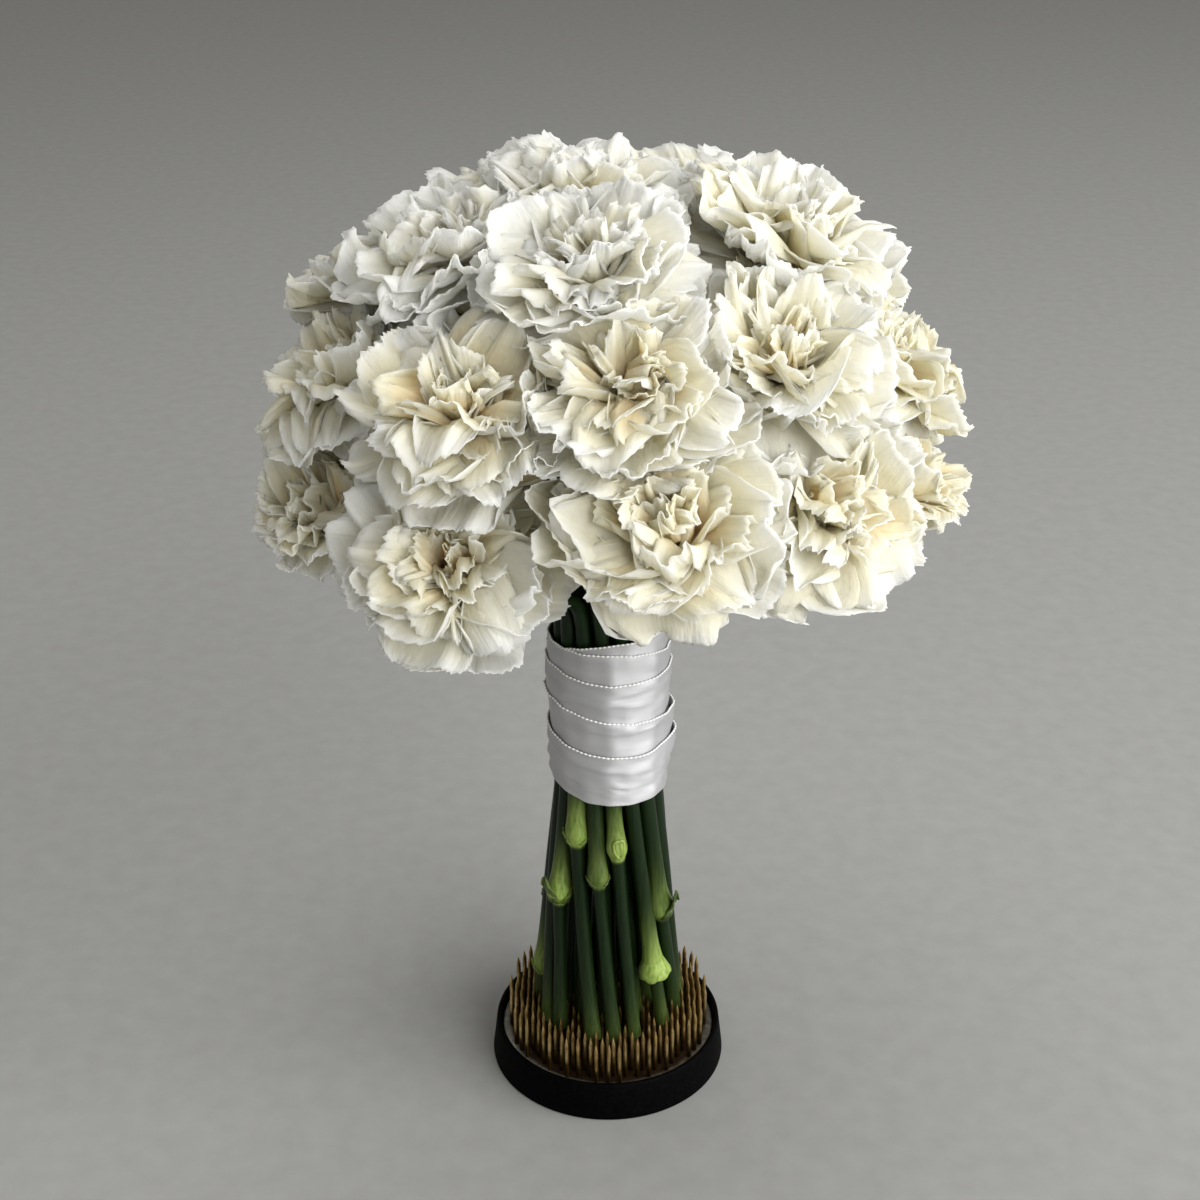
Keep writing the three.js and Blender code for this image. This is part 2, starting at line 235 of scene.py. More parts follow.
# The plate is a cast disc of soft grey metal, dull and pitted. The pins are set in its top face.
PLATE_TOP = 12 * MM
PLATE_SIDES = 96
PLATE_EDGE = 0.7 * MM
# Painted shade darkens the plate inside this radius, and fades to the pale rim by the next one
PAINTED_SHADE_RADIUS = 36.5 * MM
PALE_RIM_RADIUS = PLATE_RADIUS - 1 * MM
deselect_all()
bpy.ops.mesh.primitive_cylinder_add(
    vertices=PLATE_SIDES, radius=PLATE_RADIUS, depth=PLATE_TOP, location=(0, 0, PLATE_TOP / 2)
)
plate = bpy.context.object
plate.name = "cast_plate"
apply_place(plate)
edge = plate.modifiers.new("worn edge", "BEVEL")
edge.width = PLATE_EDGE
edge.segments = 2
edge.limit_method = "ANGLE"
apply_modifiers(plate)
bpy.ops.object.shade_smooth_by_angle(angle=SMOOTH_UNDER)
# Cast lead alloy: pale grey at its rim, and dark brown among the pins as painted shade, for the shade that
# the close pins cast on the plate.
material, tree = new_material("cast lead alloy")
where = add_node(tree, "ShaderNodeTexCoord")
from_axis = add_node(tree, "ShaderNodeVectorMath", {
    0: where.outputs["Object"], 1: (1, 1, 0),
}, operation="MULTIPLY")
distance = add_node(tree, "ShaderNodeVectorMath", {0: from_axis.outputs[0]}, operation="LENGTH")
pits = add_node(tree, "ShaderNodeTexNoise", {
    "Vector": where.outputs["Object"], "Scale": 350.0, "Detail": 5.0,
})
pale_rim_share = add_node(tree, "ShaderNodeMapRange", {
    "Value": distance.outputs["Value"], "From Min": PAINTED_SHADE_RADIUS, "From Max": PALE_RIM_RADIUS,
})
pale = add_node(tree, "ShaderNodeValToRGB", {"Fac": pits.outputs["Fac"]}, [
    (0.3, "#6b6a60"), (0.7, "#a9a89e"),
])
# Painted shade: the dark brown that stands for the shade among the pins, mottled by the pits
shade_mottle = add_node(tree, "ShaderNodeValToRGB", {"Fac": pits.outputs["Fac"]}, [
    (0.3, "#1c120a"), (0.7, "#3b2a1a"),
])
colour = add_node(tree, "ShaderNodeMix", {
    "Factor": pale_rim_share.outputs["Result"], 6: shade_mottle.outputs["Color"], 7: pale.outputs["Color"],
}, data_type="RGBA")
bump = add_node(tree, "ShaderNodeBump", {"Strength": 0.5, "Distance": 0.0004, "Height": pits.outputs["Fac"]})
shader = add_node(tree, "ShaderNodeBsdfPrincipled", {
    "Base Color": colour.outputs[2], "Metallic": 0.7, "Roughness": 0.5, "Normal": bump.outputs["Normal"],
})
add_node(tree, "ShaderNodeOutputMaterial", {"Surface": shader.outputs["BSDF"]})
plate.data.materials.append(material)
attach(plate, "root")
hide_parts("pin_plate")

# The stems' places in the bundle, as they are tied. Each bloom is given as azimuth, elevation and size. Its
# direction on the round head finds its middle and axis, and the highest blooms have the innermost stems.
HEAD_MIDDLE = np.array([0, 0, 236.0])
HEAD_RADIUS = 89
HEAD_HALF_HEIGHT = 84
FAN_ORIGIN = np.array([0, 0, 160.0])
BLOOMS = [
    (-156, -2, 0.97), (-120, 2, 1.0), (-80, 12, 1.05), (-49, 10, 1.0), (-14, -2, 0.94),
    (18, 0, 0.94), (48, 6, 1.0), (78, 2, 1.0), (108, 6, 1.0), (138, 2, 1.0), (166, 6, 0.96),
    (-162, 26, 0.93), (-120, 30, 1.0), (-86, 36, 1.0), (-48, 38, 1.0), (0, 22, 1.0),
    (34, 36, 1.0), (68, 34, 1.0), (102, 36, 1.0), (138, 34, 1.0), (170, 40, 1.0),
    (-158, 56, 1.0), (-98, 62, 1.0), (-8, 56, 1.15), (56, 58, 1.0), (128, 62, 1.0), (180, 86, 0.95),
]
OUTER_STEMS = 16
MIDDLE_STEMS = 9
STEM_RADIUS = 3.1
STEM_GAP = 0.3
STEM_FOOT = 23
RIBBON_BOTTOM = 120
RIBBON_TOP = 180
FAN_START = 188
TWIST_IN_RIBBON = -13
TWIST_BELOW = 22
SPREAD_AT_FOOT = 1.52
# How many degrees a stem's foot stands away from its even place, where the stems cross a little
FOOT_SHIFTS = {1: 5, 12: -5, 13: -5, 3: 3, 4: 4, 5: -3, 11: 3, 20: -4, 16: 4, 6: -3, 7: 4, 9: -4, 10: 3}


def unit(vector):
    return vector / np.linalg.norm(vector)


def from_polar(radius, angle, height):
    return np.array([radius * math.cos(angle), radius * math.sin(angle), height])


def place_blooms():
    """Each bloom's middle, axis and size, with its stem's place in the bundle."""
    made = []
    for number, (azimuth, elevation, size) in enumerate(BLOOMS, 1):
        flat = HEAD_RADIUS * math.cos(math.radians(elevation))
        rise = HEAD_HALF_HEIGHT * math.sin(math.radians(elevation))
        middle = HEAD_MIDDLE + from_polar(flat, math.radians(azimuth), rise)
        made.append({
            "number": number, "azimuth": math.radians(azimuth), "elevation": elevation, "size": size,
            "middle": middle, "axis": unit(middle - FAN_ORIGIN),
        })
    spacing = STEM_RADIUS + STEM_GAP / 2
    by_height = sorted(made, key=lambda bloom: bloom["elevation"])
    rings = [
        (by_height[:OUTER_STEMS], spacing / math.sin(math.pi / OUTER_STEMS), True),
        (by_height[OUTER_STEMS:OUTER_STEMS + MIDDLE_STEMS], spacing * 3, False),
        (by_height[OUTER_STEMS + MIDDLE_STEMS:], spacing, False),
    ]
    for members, radius, outer in rings:
        step = 2 * math.pi / len(members)
        members = sorted(members, key=lambda bloom: bloom["azimuth"])
        offsets = [bloom["azimuth"] - index * step for index, bloom in enumerate(members)]
        start = math.atan2(sum(map(math.sin, offsets)), sum(map(math.cos, offsets)))
        for index, bloom in enumerate(members):
            bloom.update(place_radius=radius, place_angle=start + index * step, outer=outer)
    return made


def bundle_point(bloom, height):
    """Where a stem's middle line passes at a height in or below the ribbon, or just above it."""
    in_ribbon = max((height - RIBBON_TOP) / (RIBBON_TOP - RIBBON_BOTTOM), -1)
    below = max(0, (RIBBON_BOTTOM - height) / (RIBBON_BOTTOM - STEM_FOOT))
    twist = TWIST_BELOW + FOOT_SHIFTS.get(bloom["number"], 0)
    turn = math.radians(TWIST_IN_RIBBON * in_ribbon + twist * below)
    spread = 1 + (SPREAD_AT_FOOT - 1) * below
    return from_polar(bloom["place_radius"] * spread, bloom["place_angle"] + turn, height)


blooms = place_blooms()

# The pins are brass wire, ground to a point and cast into the plate on a close hexagonal grid.
# One pin is a cylinder whose top is drawn out to a point, and the rest are copies that lean a little.
PIN_TIP = 29.5
PIN_RADIUS = 0.8
PIN_SIDES = 8
PIN_POINT = 3.4
# The point is drawn out in two steps: the share of its length, and what is left of the width
PIN_POINT_STEPS = ((0.3, 0.8), (0.7, 0.1))
PIN_SINK = 1
PIN_LEAN = 0.012
PIN_SEED = 4
PIN_PITCH = 4.3
PIN_FIELD_RADIUS = 38.2
PIN_TO_STEM = 3.7
PIN_SMOOTH_UNDER = math.radians(50)
# The painted shade low on the pins fades out by this height
PIN_SHADE_TOP = 19 * MM
pin_length = PIN_TIP + PIN_SINK - PLATE_TOP / MM
deselect_all()
bpy.ops.mesh.primitive_cylinder_add(
    vertices=PIN_SIDES, radius=PIN_RADIUS * MM, depth=(pin_length - PIN_POINT) * MM,
    location=(0, 0, (pin_length - PIN_POINT) / 2 * MM),
)
pin = bpy.context.object
apply_place(pin)
select_faces(pin, lambda centre, normal: normal.z > CAP_NORMAL)
for rise, shrink in PIN_POINT_STEPS:
    bpy.ops.mesh.extrude_region_move(TRANSFORM_OT_translate={"value": (0, 0, PIN_POINT * rise * MM)})
    bpy.ops.transform.resize(value=(shrink, shrink, 1))
bpy.ops.object.mode_set(mode="OBJECT")


def mesh_arrays(piece):
    """A mesh's points, and its faces as lists of point numbers."""
    points = np.array([vertex.co[:] for vertex in piece.data.vertices])
    return points, [list(face.vertices) for face in piece.data.polygons]


def pin_places():
    """The places of a hexagonal grid that lie in the pins' field."""
    row_step = PIN_PITCH * math.sin(math.pi / 3)
    rows = int(PIN_FIELD_RADIUS / row_step) + 1
    places = []
    for row in range(-rows, rows + 1):
        for column in range(-rows, rows + 1):
            place = np.array([column * PIN_PITCH + (row % 2) * PIN_PITCH / 2, row * row_step])
            if np.linalg.norm(place) <= PIN_FIELD_RADIUS:
                places.append(place)
    return places


rng = np.random.default_rng(PIN_SEED)
pin_points, pin_faces = mesh_arrays(pin)
bpy.data.objects.remove(pin)
feet = [bundle_point(bloom, STEM_FOOT)[:2] for bloom in blooms]
stands = [p for p in pin_places() if min(np.linalg.norm(p - foot) for foot in feet) > PIN_TO_STEM] + feet
points, faces = [], []
for place in stands:
    start = len(points) * len(pin_points)
    lean = rng.normal(0, PIN_LEAN, 2)
    copy = pin_points.copy()
    copy[:, :2] += pin_points[:, 2:] * lean + place * MM
    copy[:, 2] += PLATE_TOP - PIN_SINK * MM
    points.append(copy)
    faces += [[start + corner for corner in face] for face in pin_faces]
mesh = bpy.data.meshes.new("brass_pins")
mesh.from_pydata(np.concatenate(points).tolist(), [], faces)
pins = bpy.data.objects.new("brass_pins", mesh)
bpy.context.collection.objects.link(pins)
deselect_all()
pins.select_set(True)
bpy.context.view_layer.objects.active = pins
bpy.ops.object.shade_smooth_by_angle(angle=PIN_SMOOTH_UNDER)
# Drawn brass wire, with painted shade: dark brown low down, where the close pins shade each other.
material, tree = new_material("drawn brass wire")
where = add_node(tree, "ShaderNodeTexCoord")
axes = add_node(tree, "ShaderNodeSeparateXYZ", {"Vector": where.outputs["Object"]})
# Painted shade: the pins grow darker from that height down to the plate
height = add_node(tree, "ShaderNodeMapRange", {
    "Value": axes.outputs["Z"], "From Min": PLATE_TOP - 1 * MM, "From Max": PIN_SHADE_TOP,
})
# A noise that mottles the pins' tone, and with it the painted shade low down
shade_mottle = add_node(tree, "ShaderNodeTexNoise", {
    "Vector": where.outputs["Object"], "Scale": 260.0, "Detail": 4.0,
})
bright = add_node(tree, "ShaderNodeMath", {
    0: height.outputs["Result"], 1: shade_mottle.outputs["Fac"], 2: 0.12,
}, operation="MULTIPLY_ADD")
tint = add_node(tree, "ShaderNodeValToRGB", {"Fac": bright.outputs["Value"]}, [
    (0.1, "#30200c"), (0.4, "#7e6230"), (0.8, "#d4ba80"),
])
shader = add_node(tree, "ShaderNodeBsdfPrincipled", {
    "Base Color": tint.outputs["Color"], "Metallic": 1.0, "Roughness": 0.3,
})
add_node(tree, "ShaderNodeOutputMaterial", {"Surface": shader.outputs["BSDF"]})
mesh.materials.append(material)
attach(pins, "root")
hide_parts("pin_plate")

# The stems are stiff waxy canes, a little flared at the cut end and slim under the bloom, with a pale swollen
# joint where a pair of leaves was stripped off. Each widens at the top into the calyx, a tube with teeth.
# A stem is made as a tube of rings along its line, with the calyx and what its leaves left as closed shells.
STEM_SEED = 100
STEM_FOOT_RADIUS = 3.0
STEM_NECK_RADIUS = 2.3
STEM_SIDES = 15
RING_STEP = 4
CLOSEST_RINGS = 0.4
CURVE_EASE = 2.6
CURVE_STEPS = 32
GIRTHS = (0.86, 1.04)
WAVER = 0.03
WAVER_LENGTH = 11
FOOT_FLARE = 0.9
FLARE_SHARES = (0.5, 1.2)
FLARE_LENGTH = 16
FOOT_PALENESS = (0.08, 0.3)
FOOT_PALE_LENGTH = 9
# The cut end: how far its edge is rounded off, as a share of the radius and in depth
CUT_BEVEL = 0.12
CUT_DEPTH = 0.4
CUT_PALENESS = 0.5
# For the stems on the outside: the joint's height, how pale it is, and what its pair of leaves left
JOINTS = {
    1: (104, 0.8, "stubs"), 2: (89, 0.35, "stubs"), 3: (48, 1, "cup"), 4: (68, 0.5, "torn"),
    6: (50, 0.8, "scar"), 7: (88, 0.9, "stubs"), 8: (44, 0.6, "stubs"), 9: (98, 0.9, "cup"),
    10: (60, 0.6, "stubs"), 12: (77, 1, "torn"), 13: (100, 0.8, "scar"), 16: (44, 0.4, "stubs"),
    18: (70, 0.5, "scar"), 20: (36, 0.8, "stubs"),
}
JOINT_RADIUS = 4.3
TORN_JOINT_EXTRA = 1.1
JOINT_RINGS = (-4, -3, -2.2, -1.4, -0.6, 0.2, 1.2, 2.5, 4.5, 7)
# The joint's bulb: where it peaks above the joint, how fast it falls below and above that, and its long tail
BULB_PEAK = 2.4
BULB_BELOW = 2.6
BULB_ABOVE = 5
BULB_TAIL = 14
BULB_SHARES = (0.55, 0.45)
# The stem is slimmer just under a joint
BELOW_JOINT = 0.84
BELOW_LENGTH = 5
# The pale sheath above a joint
SHEATH_LENGTH = 14
SHEATH_FALL = 1.7
SHEATH_EDGE = (-2.6, -1)
# A high joint pushes its stem outwards
NUDGE = 1.3
NUDGE_LENGTH = 18
NUDGE_FROM = 70
# How pale what the leaves left is, as a share of the joint's own paleness
LEFT_PALENESS = {"stubs": 0.8, "torn": 0.35, "cup": 1, "scar": 1}
LEAF_THICKNESS = 0.5
STUB_SIZES = ((2.6, 4.6), (2, 3.2))
STUB_TURN = 0.5
TORN_FLAPS = ((0, 11), (2, 7))
STUB_COLUMNS = 9
STUB_ROWS = 6
STUB_HALF_WRAP = 1.15
STUB_TAPER = 0.75
STUB_TEAR = 0.12
STUB_FOOT = -0.8
STUB_POINT = 0.35
STUB_FLARE = 0.28
# A short stub bends out late and a long flap early
SHORT_STUB = 6
SHORT_STUB_BEND = 2
LONG_STUB_BEND = 1.2
# The cup's rows: height, how far it stands off, and how much of its points it has
CUP_ROWS = ((4.5, -0.1, 0), (3, 0.6, 0), (1.2, 1.4, 0.1), (-0.4, 2.1, 0.5), (-1.4, 2.6, 1))
CUP_COLUMNS = 37
CUP_POINTS = 7
CUP_POINT_LENGTH = 1.3
CUP_WAVE = 0.5
SCAR_TURNS = (math.pi * 0.6, math.pi * 1.6)
SCAR_STEPS = 24
SCAR_SIDES = 7
SCAR_BEAD = 0.6
SCAR_HALF_WRAP = 0.62
SCAR_MIDDLE = 4
SCAR_HALF_HEIGHT = 3.4
SCAR_LOP = 0.7
ON_SKIN = 0.1
CALYX_TOP = -6
CALYX_LENGTH = 26
# The calyx's outside as height and radius, and its inside as depth below the rim and radius
CALYX_RADII = ((0, 2.3), (2, 3.2), (6, 4.9), (10, 5.8), (18, 6.2), (26, 6.5))
CALYX_INSIDE = ((0, 6.0), (4, 5.4), (8, 4.6))
CALYX_LIP = 0.1
CALYX_SIDES = 30
CALYX_RINGS = 9
CALYX_RIB = 0.12
CALYX_PALENESS = 0.35
CALYX_TEETH = 5
CALYX_TOOTH = 4.5
TOOTH_SHARPNESS = 1.6
TOOTH_RISE = 6


def smooth_step(value, low, high):
    """From 0 at low to 1 at high, with a smooth start and end."""
    t = np.clip((np.asarray(value, float) - low) / (high - low), 0, 1)
    return t * t * (3 - 2 * t)


def stem_radius(height):
    """A plain stem's radius, a little stouter towards the ribbon and slim under the bloom."""
    low = smooth_step(height, STEM_FOOT, RIBBON_BOTTOM - 15)
    high = smooth_step(height, RIBBON_TOP - 5, FAN_START + 15)
    return STEM_FOOT_RADIUS + (STEM_RADIUS - STEM_FOOT_RADIUS) * low + (STEM_NECK_RADIUS - STEM_RADIUS) * high


def stem_line(bloom):
    """Points close together along a stem, from its cut end to the foot of its calyx."""
    heights = np.arange(STEM_FOOT, FAN_START + 0.1, RING_STEP / 2)
    line = [bundle_point(bloom, height) for height in heights]
    start = line[-1]
    lean = unit(line[-1] - line[-2])
    end = bloom["middle"] + bloom["axis"] * (CALYX_TOP - CALYX_LENGTH)
    reach = np.linalg.norm(end - start) / CURVE_EASE
    first, last = start + lean * reach, end - bloom["axis"] * reach
    for t in np.linspace(0, 1, CURVE_STEPS + 1)[1:]:
        line.append(
            start * (1 - t) ** 3 + first * 3 * t * (1 - t) ** 2 + last * 3 * t * t * (1 - t) + end * t ** 3
        )
    return np.array(line)


def even_steps(line, step):
    """The same line with its points an even step apart."""
    lengths = np.concatenate([[0], np.cumsum(np.linalg.norm(np.diff(line, axis=0), axis=1))])
    count = max(2, int(round(lengths[-1] / step)) + 1)
    places = np.linspace(0, lengths[-1], count)
    return np.stack([np.interp(places, lengths, line[:, k]) for k in range(3)], axis=1)


def frames_along(line):
    """Two directions across the line at each point, carried along it with no twist."""
    along = np.gradient(line, axis=0)
    along /= np.linalg.norm(along, axis=1)[:, None]
    side = unit(np.cross(along[0], [0, 1, 0.1]))
    sides = []
    for direction in along:
        side = unit(side - direction * (side @ direction))
        sides.append(side)
    sides = np.array(sides)
    return sides, np.cross(along, sides)


def tube(line, radii, count):
    """Rings of points round a line, one row for each ring."""
    sides, ups = frames_along(line)
    angles = np.arange(count) * 2 * math.pi / count
    ring = np.cos(angles)[None, :, None] * sides[:, None] + np.sin(angles)[None, :, None] * ups[:, None]
    return line[:, None] + ring * np.broadcast_to(radii, (len(line), count))[:, :, None]


def tube_faces(rows, count, start=0):
    """Faces of a closed tube of rings, with a fan at each end round a point that follows the rings."""
    ring = np.arange(count)
    after = (ring + 1) % count
    quads = []
    for row in range(rows - 1):
        low, high = start + row * count, start + (row + 1) * count
        quads += np.stack([low + ring, low + after, high + after, high + ring], axis=1).tolist()
    foot, top = start + rows * count, start + rows * count + 1
    last = start + (rows - 1) * count
    quads += [[foot, start + after[k], start + ring[k]] for k in ring]
    quads += [[top, last + ring[k], last + after[k]] for k in ring]
    return quads


def sheet_skins(sheet, thickness):
    """The two skins of a sheet of rows and columns of points, half its thickness to each side."""
    normal = np.cross(np.gradient(sheet, axis=1), np.gradient(sheet, axis=0))
    normal /= np.maximum(np.linalg.norm(normal, axis=2), 1e-9)[:, :, None]
    half = np.broadcast_to(thickness, sheet.shape[:2])[:, :, None] / 2
    return sheet + normal * half, sheet - normal * half


def shell_faces(rows, columns, coarse_rows=0, coarse_step=1):
    """The faces of a closed thin shell, in two lists: its two skins and its narrow rim. The third result says
    which of a skin's points it uses, as its first rows may use only every few columns, where it is hidden."""
    used = np.ones((rows, columns), dtype=bool)
    used[:coarse_rows] = False
    used[:coarse_rows, ::coarse_step] = True
    number = np.where(used, np.cumsum(used).reshape(used.shape) - 1, -1)
    skin = []
    for row in range(rows - 1):
        step = coarse_step if row < coarse_rows else 1
        ahead = coarse_step if row + 1 < coarse_rows else 1
        for column in range(0, columns - 1, step):
            after = column + step
            near = [number[row, column], number[row, after]]
            skin.append(near + [number[row + 1, k] for k in range(after, column - 1, -ahead)])
    count = int(used.sum())
    rim = [k for k in number[0] if k >= 0] + list(number[1:, -1])
    rim += list(number[-1, -2::-1]) + list(number[-2:0:-1, 0])
    other = [[k + count for k in face[::-1]] for face in skin]
    sides = [[after, first, first + count, after + count] for first, after in zip(rim, rim[1:] + rim[:1])]
    return skin + other, sides, used


def closed_sheet(sheet, thickness):
    """A sheet of rows and columns of points as a thin closed shell: its points and its faces."""
    skins, sides, used = shell_faces(*sheet.shape[:2])
    faces = skins + sides
    front, back = sheet_skins(sheet, thickness)
    return np.concatenate([front[used], back[used]]), faces


def make_mesh(name, points, faces, attributes):
    """A mesh object from points in millimetres, with one number a point for each attribute. The faces are a
    list of lists, all smooth, or their corners all in a row, how many each has and which are smooth."""
    if isinstance(faces, list):
        sizes = np.array([len(face) for face in faces])
        faces = np.concatenate(faces), sizes, np.ones(len(faces), dtype=bool)
    corners, sizes, smooth = faces
    mesh = bpy.data.meshes.new(name)
    mesh.vertices.add(len(points))
    mesh.vertices.foreach_set("co", (points * MM).astype(np.float32).ravel())
    mesh.loops.add(len(corners))
    mesh.loops.foreach_set("vertex_index", corners.astype(np.int32))
    mesh.polygons.add(len(sizes))
    mesh.polygons.foreach_set("loop_start", (np.cumsum(sizes) - sizes).astype(np.int32))
    mesh.update(calc_edges=True)
    mesh.polygons.foreach_set("use_smooth", smooth)
    for key, values in attributes.items():
        mesh.attributes.new(key, "FLOAT", "POINT").data.foreach_set("value", values.astype(np.float32))
    piece = bpy.data.objects.new(name, mesh)
    bpy.context.collection.objects.link(piece)
    return piece


def add_layout(piece, places):
    """A UV map with one place in millimetres for each of the piece's points."""
    layout = piece.data.uv_layers.new(name="cut")
    corners = np.empty(len(piece.data.loops), dtype=np.int32)
    piece.data.loops.foreach_get("vertex_index", corners)
    layout.data.foreach_set("uv", (places[corners] * MM).astype(np.float32).ravel())


def leaf_stub(middle, along, side, up, radius, angle, size, rng):
    """What is left of one leaf: a pointed flap that hugs the stem at its foot and stands off at its tip."""
    across = np.linspace(-1, 1, STUB_COLUMNS)
    bend = SHORT_STUB_BEND if size < SHORT_STUB else LONG_STUB_BEND
    sheet = []
    for out in np.linspace(0, 1, STUB_ROWS):
        turn = angle + across * STUB_HALF_WRAP * (1 - STUB_TAPER * out)
        ring = np.cos(turn)[:, None] * side + np.sin(turn)[:, None] * up
        tear = rng.uniform(-STUB_TEAR, STUB_TEAR, len(across)) * size * out
        rise = STUB_FOOT + size * out * (1 - STUB_POINT * across ** 2) + tear
        reach = radius + ON_SKIN + STUB_FLARE * size * out ** bend
        sheet.append(middle + ring * reach + along * rise[:, None])
    return closed_sheet(np.array(sheet), LEAF_THICKNESS)


def leaf_cup(middle, along, side, up, radius, rng):
    """The joined foot of a pair of leaves, torn back into a short skirt with small points."""
    angles = np.linspace(0, 2 * math.pi, CUP_COLUMNS)
    points = CUP_POINT_LENGTH * np.abs(np.sin(angles * (CUP_POINTS / 2))) ** 0.7
    points = points + CUP_WAVE * np.sin(angles * 2 + rng.uniform(0, 6))
    ring = np.cos(angles)[:, None] * side + np.sin(angles)[:, None] * up
    sheet = []
    for rise, flare, share in CUP_ROWS:
        sheet.append(middle + ring * (radius + flare) + along * (rise - points * share)[:, None])
    return closed_sheet(np.array(sheet), LEAF_THICKNESS)


def leaf_scar(middle, along, side, up, radius, angle):
    """The oval rim of a leaf that broke off clean: a bead that runs round on the stem's own surface."""
    steps = np.arange(SCAR_STEPS) * 2 * math.pi / SCAR_STEPS
    turn = angle + SCAR_HALF_WRAP * np.cos(steps)
    rise = SCAR_MIDDLE + SCAR_HALF_HEIGHT * np.sin(steps) + SCAR_LOP * np.cos(2 * steps)
    out = np.cos(turn)[:, None] * side + np.sin(turn)[:, None] * up
    path = middle + out * (radius + ON_SKIN) + along * rise[:, None]
    ahead = np.roll(path, -1, axis=0) - np.roll(path, 1, axis=0)
    ahead /= np.linalg.norm(ahead, axis=1)[:, None]
    beside = np.cross(ahead, out)
    bead = np.arange(SCAR_SIDES) * 2 * math.pi / SCAR_SIDES
    points = path[:, None] + SCAR_BEAD * (
        np.cos(bead)[None, :, None] * out[:, None] + np.sin(bead)[None, :, None] * beside[:, None]
    )
    number = np.arange(SCAR_STEPS * SCAR_SIDES).reshape(SCAR_STEPS, SCAR_SIDES)
    ahead_number = np.roll(number, -1, axis=0)
    faces = np.stack([
        number, np.roll(number, -1, axis=1), np.roll(ahead_number, -1, axis=1), ahead_number,
    ], axis=-1).reshape(-1, 4)
    return points.reshape(-1, 3), faces[:, ::-1].tolist()


def add_part(parts, points, faces, pale):
    """Adds points, faces and paleness to the parts of a mesh."""
    start = sum(len(block) for block in parts["points"])
    parts["points"].append(points)
    parts["faces"] += [[start + corner for corner in face] for face in faces]
    parts["pale"].append(np.broadcast_to(pale, len(points)))


def calyx_rings(bloom, line):
    """The calyx: an outside that rises in five teeth, and an inside down to a floor that holds the petals."""
    foot = bloom["middle"] + bloom["axis"] * (CALYX_TOP - CALYX_LENGTH)
    along, radii = np.array(CALYX_RADII, float).T
    angles = np.arange(CALYX_SIDES) * 2 * math.pi / CALYX_SIDES
    teeth = CALYX_TOOTH * np.abs(np.cos(angles * (CALYX_TEETH / 2))) ** TOOTH_SHARPNESS - CALYX_TOOTH / 2
    ribs = CALYX_RIB * np.cos(angles * (CALYX_SIDES / 2))
    side, up = (block[-1] for block in frames_along(line))
    ring = np.cos(angles)[:, None] * side + np.sin(angles)[:, None] * up
    outside = [
        (height, np.interp(height, along, radii) + ribs, 0)
        for height in np.linspace(0, CALYX_LENGTH, CALYX_RINGS)
    ]
    inside = [(CALYX_LENGTH - depth, radius, CALYX_LIP) for depth, radius in CALYX_INSIDE]
    rows = []
    for height, radius, drop in outside + inside:
        rise = height - drop + teeth * (height / CALYX_LENGTH) ** TOOTH_RISE
        radius = np.broadcast_to(radius, CALYX_SIDES)
        rows.append(foot + ring * radius[:, None] + bloom["axis"] * rise[:, None])
    ends = np.array([foot, foot + bloom["axis"] * (CALYX_LENGTH - CALYX_INSIDE[-1][0])])
    return np.concatenate([np.concatenate(rows), ends]), tube_faces(len(rows), CALYX_SIDES)


def add_joint_rings(bloom, line, joint):
    """The stem's line with points set close together round the joint."""
    extra = [bundle_point(bloom, joint + shift) for shift in JOINT_RINGS]
    line = np.array(sorted([*line, *extra], key=lambda point: point[2]))
    apart = np.linalg.norm(np.diff(line, axis=0), axis=1) > CLOSEST_RINGS
    return line[np.concatenate([[True], apart])]


def swollen(radii, heights, joint, left):
    """A stem's radii with the joint's bulb, which is steep below its peak and long above it."""
    above = heights - joint
    past = above - BULB_PEAK
    short, long = BULB_SHARES
    upper = short * np.exp(-(past / BULB_ABOVE) ** 2) + long * np.exp(-np.maximum(past, 0) / BULB_TAIL)
    swell = np.where(past < 0, np.exp(-(past / BULB_BELOW) ** 2), upper)
    slim = radii * (1 - (1 - BELOW_JOINT) * smooth_step(-above, 0, BELOW_LENGTH))
    bulb = JOINT_RADIUS + (TORN_JOINT_EXTRA if left == "torn" else 0)
    return slim + (bulb - stem_radius(joint)) * swell


def leaf_remains(line, radii, nearest, left, rng):
    """What the pair of leaves left at a joint, as a list of shells."""
    along = unit(line[nearest + 1] - line[nearest - 1])
    sides, ups = frames_along(line)
    place = (line[nearest], along, sides[nearest], ups[nearest], radii[nearest])
    if left == "stubs":
        turn = rng.uniform(-STUB_TURN, STUB_TURN)
        sizes = [rng.uniform(*limits) for limits in STUB_SIZES]
        return [leaf_stub(*place, turn + half * math.pi, size, rng) for half, size in enumerate(sizes)]
    if left == "torn":
        out = unit(line[nearest] * [1, 1, 0])
        turn = math.atan2(out @ ups[nearest], out @ sides[nearest])
        return [leaf_stub(*place, turn + shift, size, rng) for shift, size in TORN_FLAPS]
    if left == "cup":
        return [leaf_cup(*place, rng)]
    return [leaf_scar(*place, turn) for turn in SCAR_TURNS]


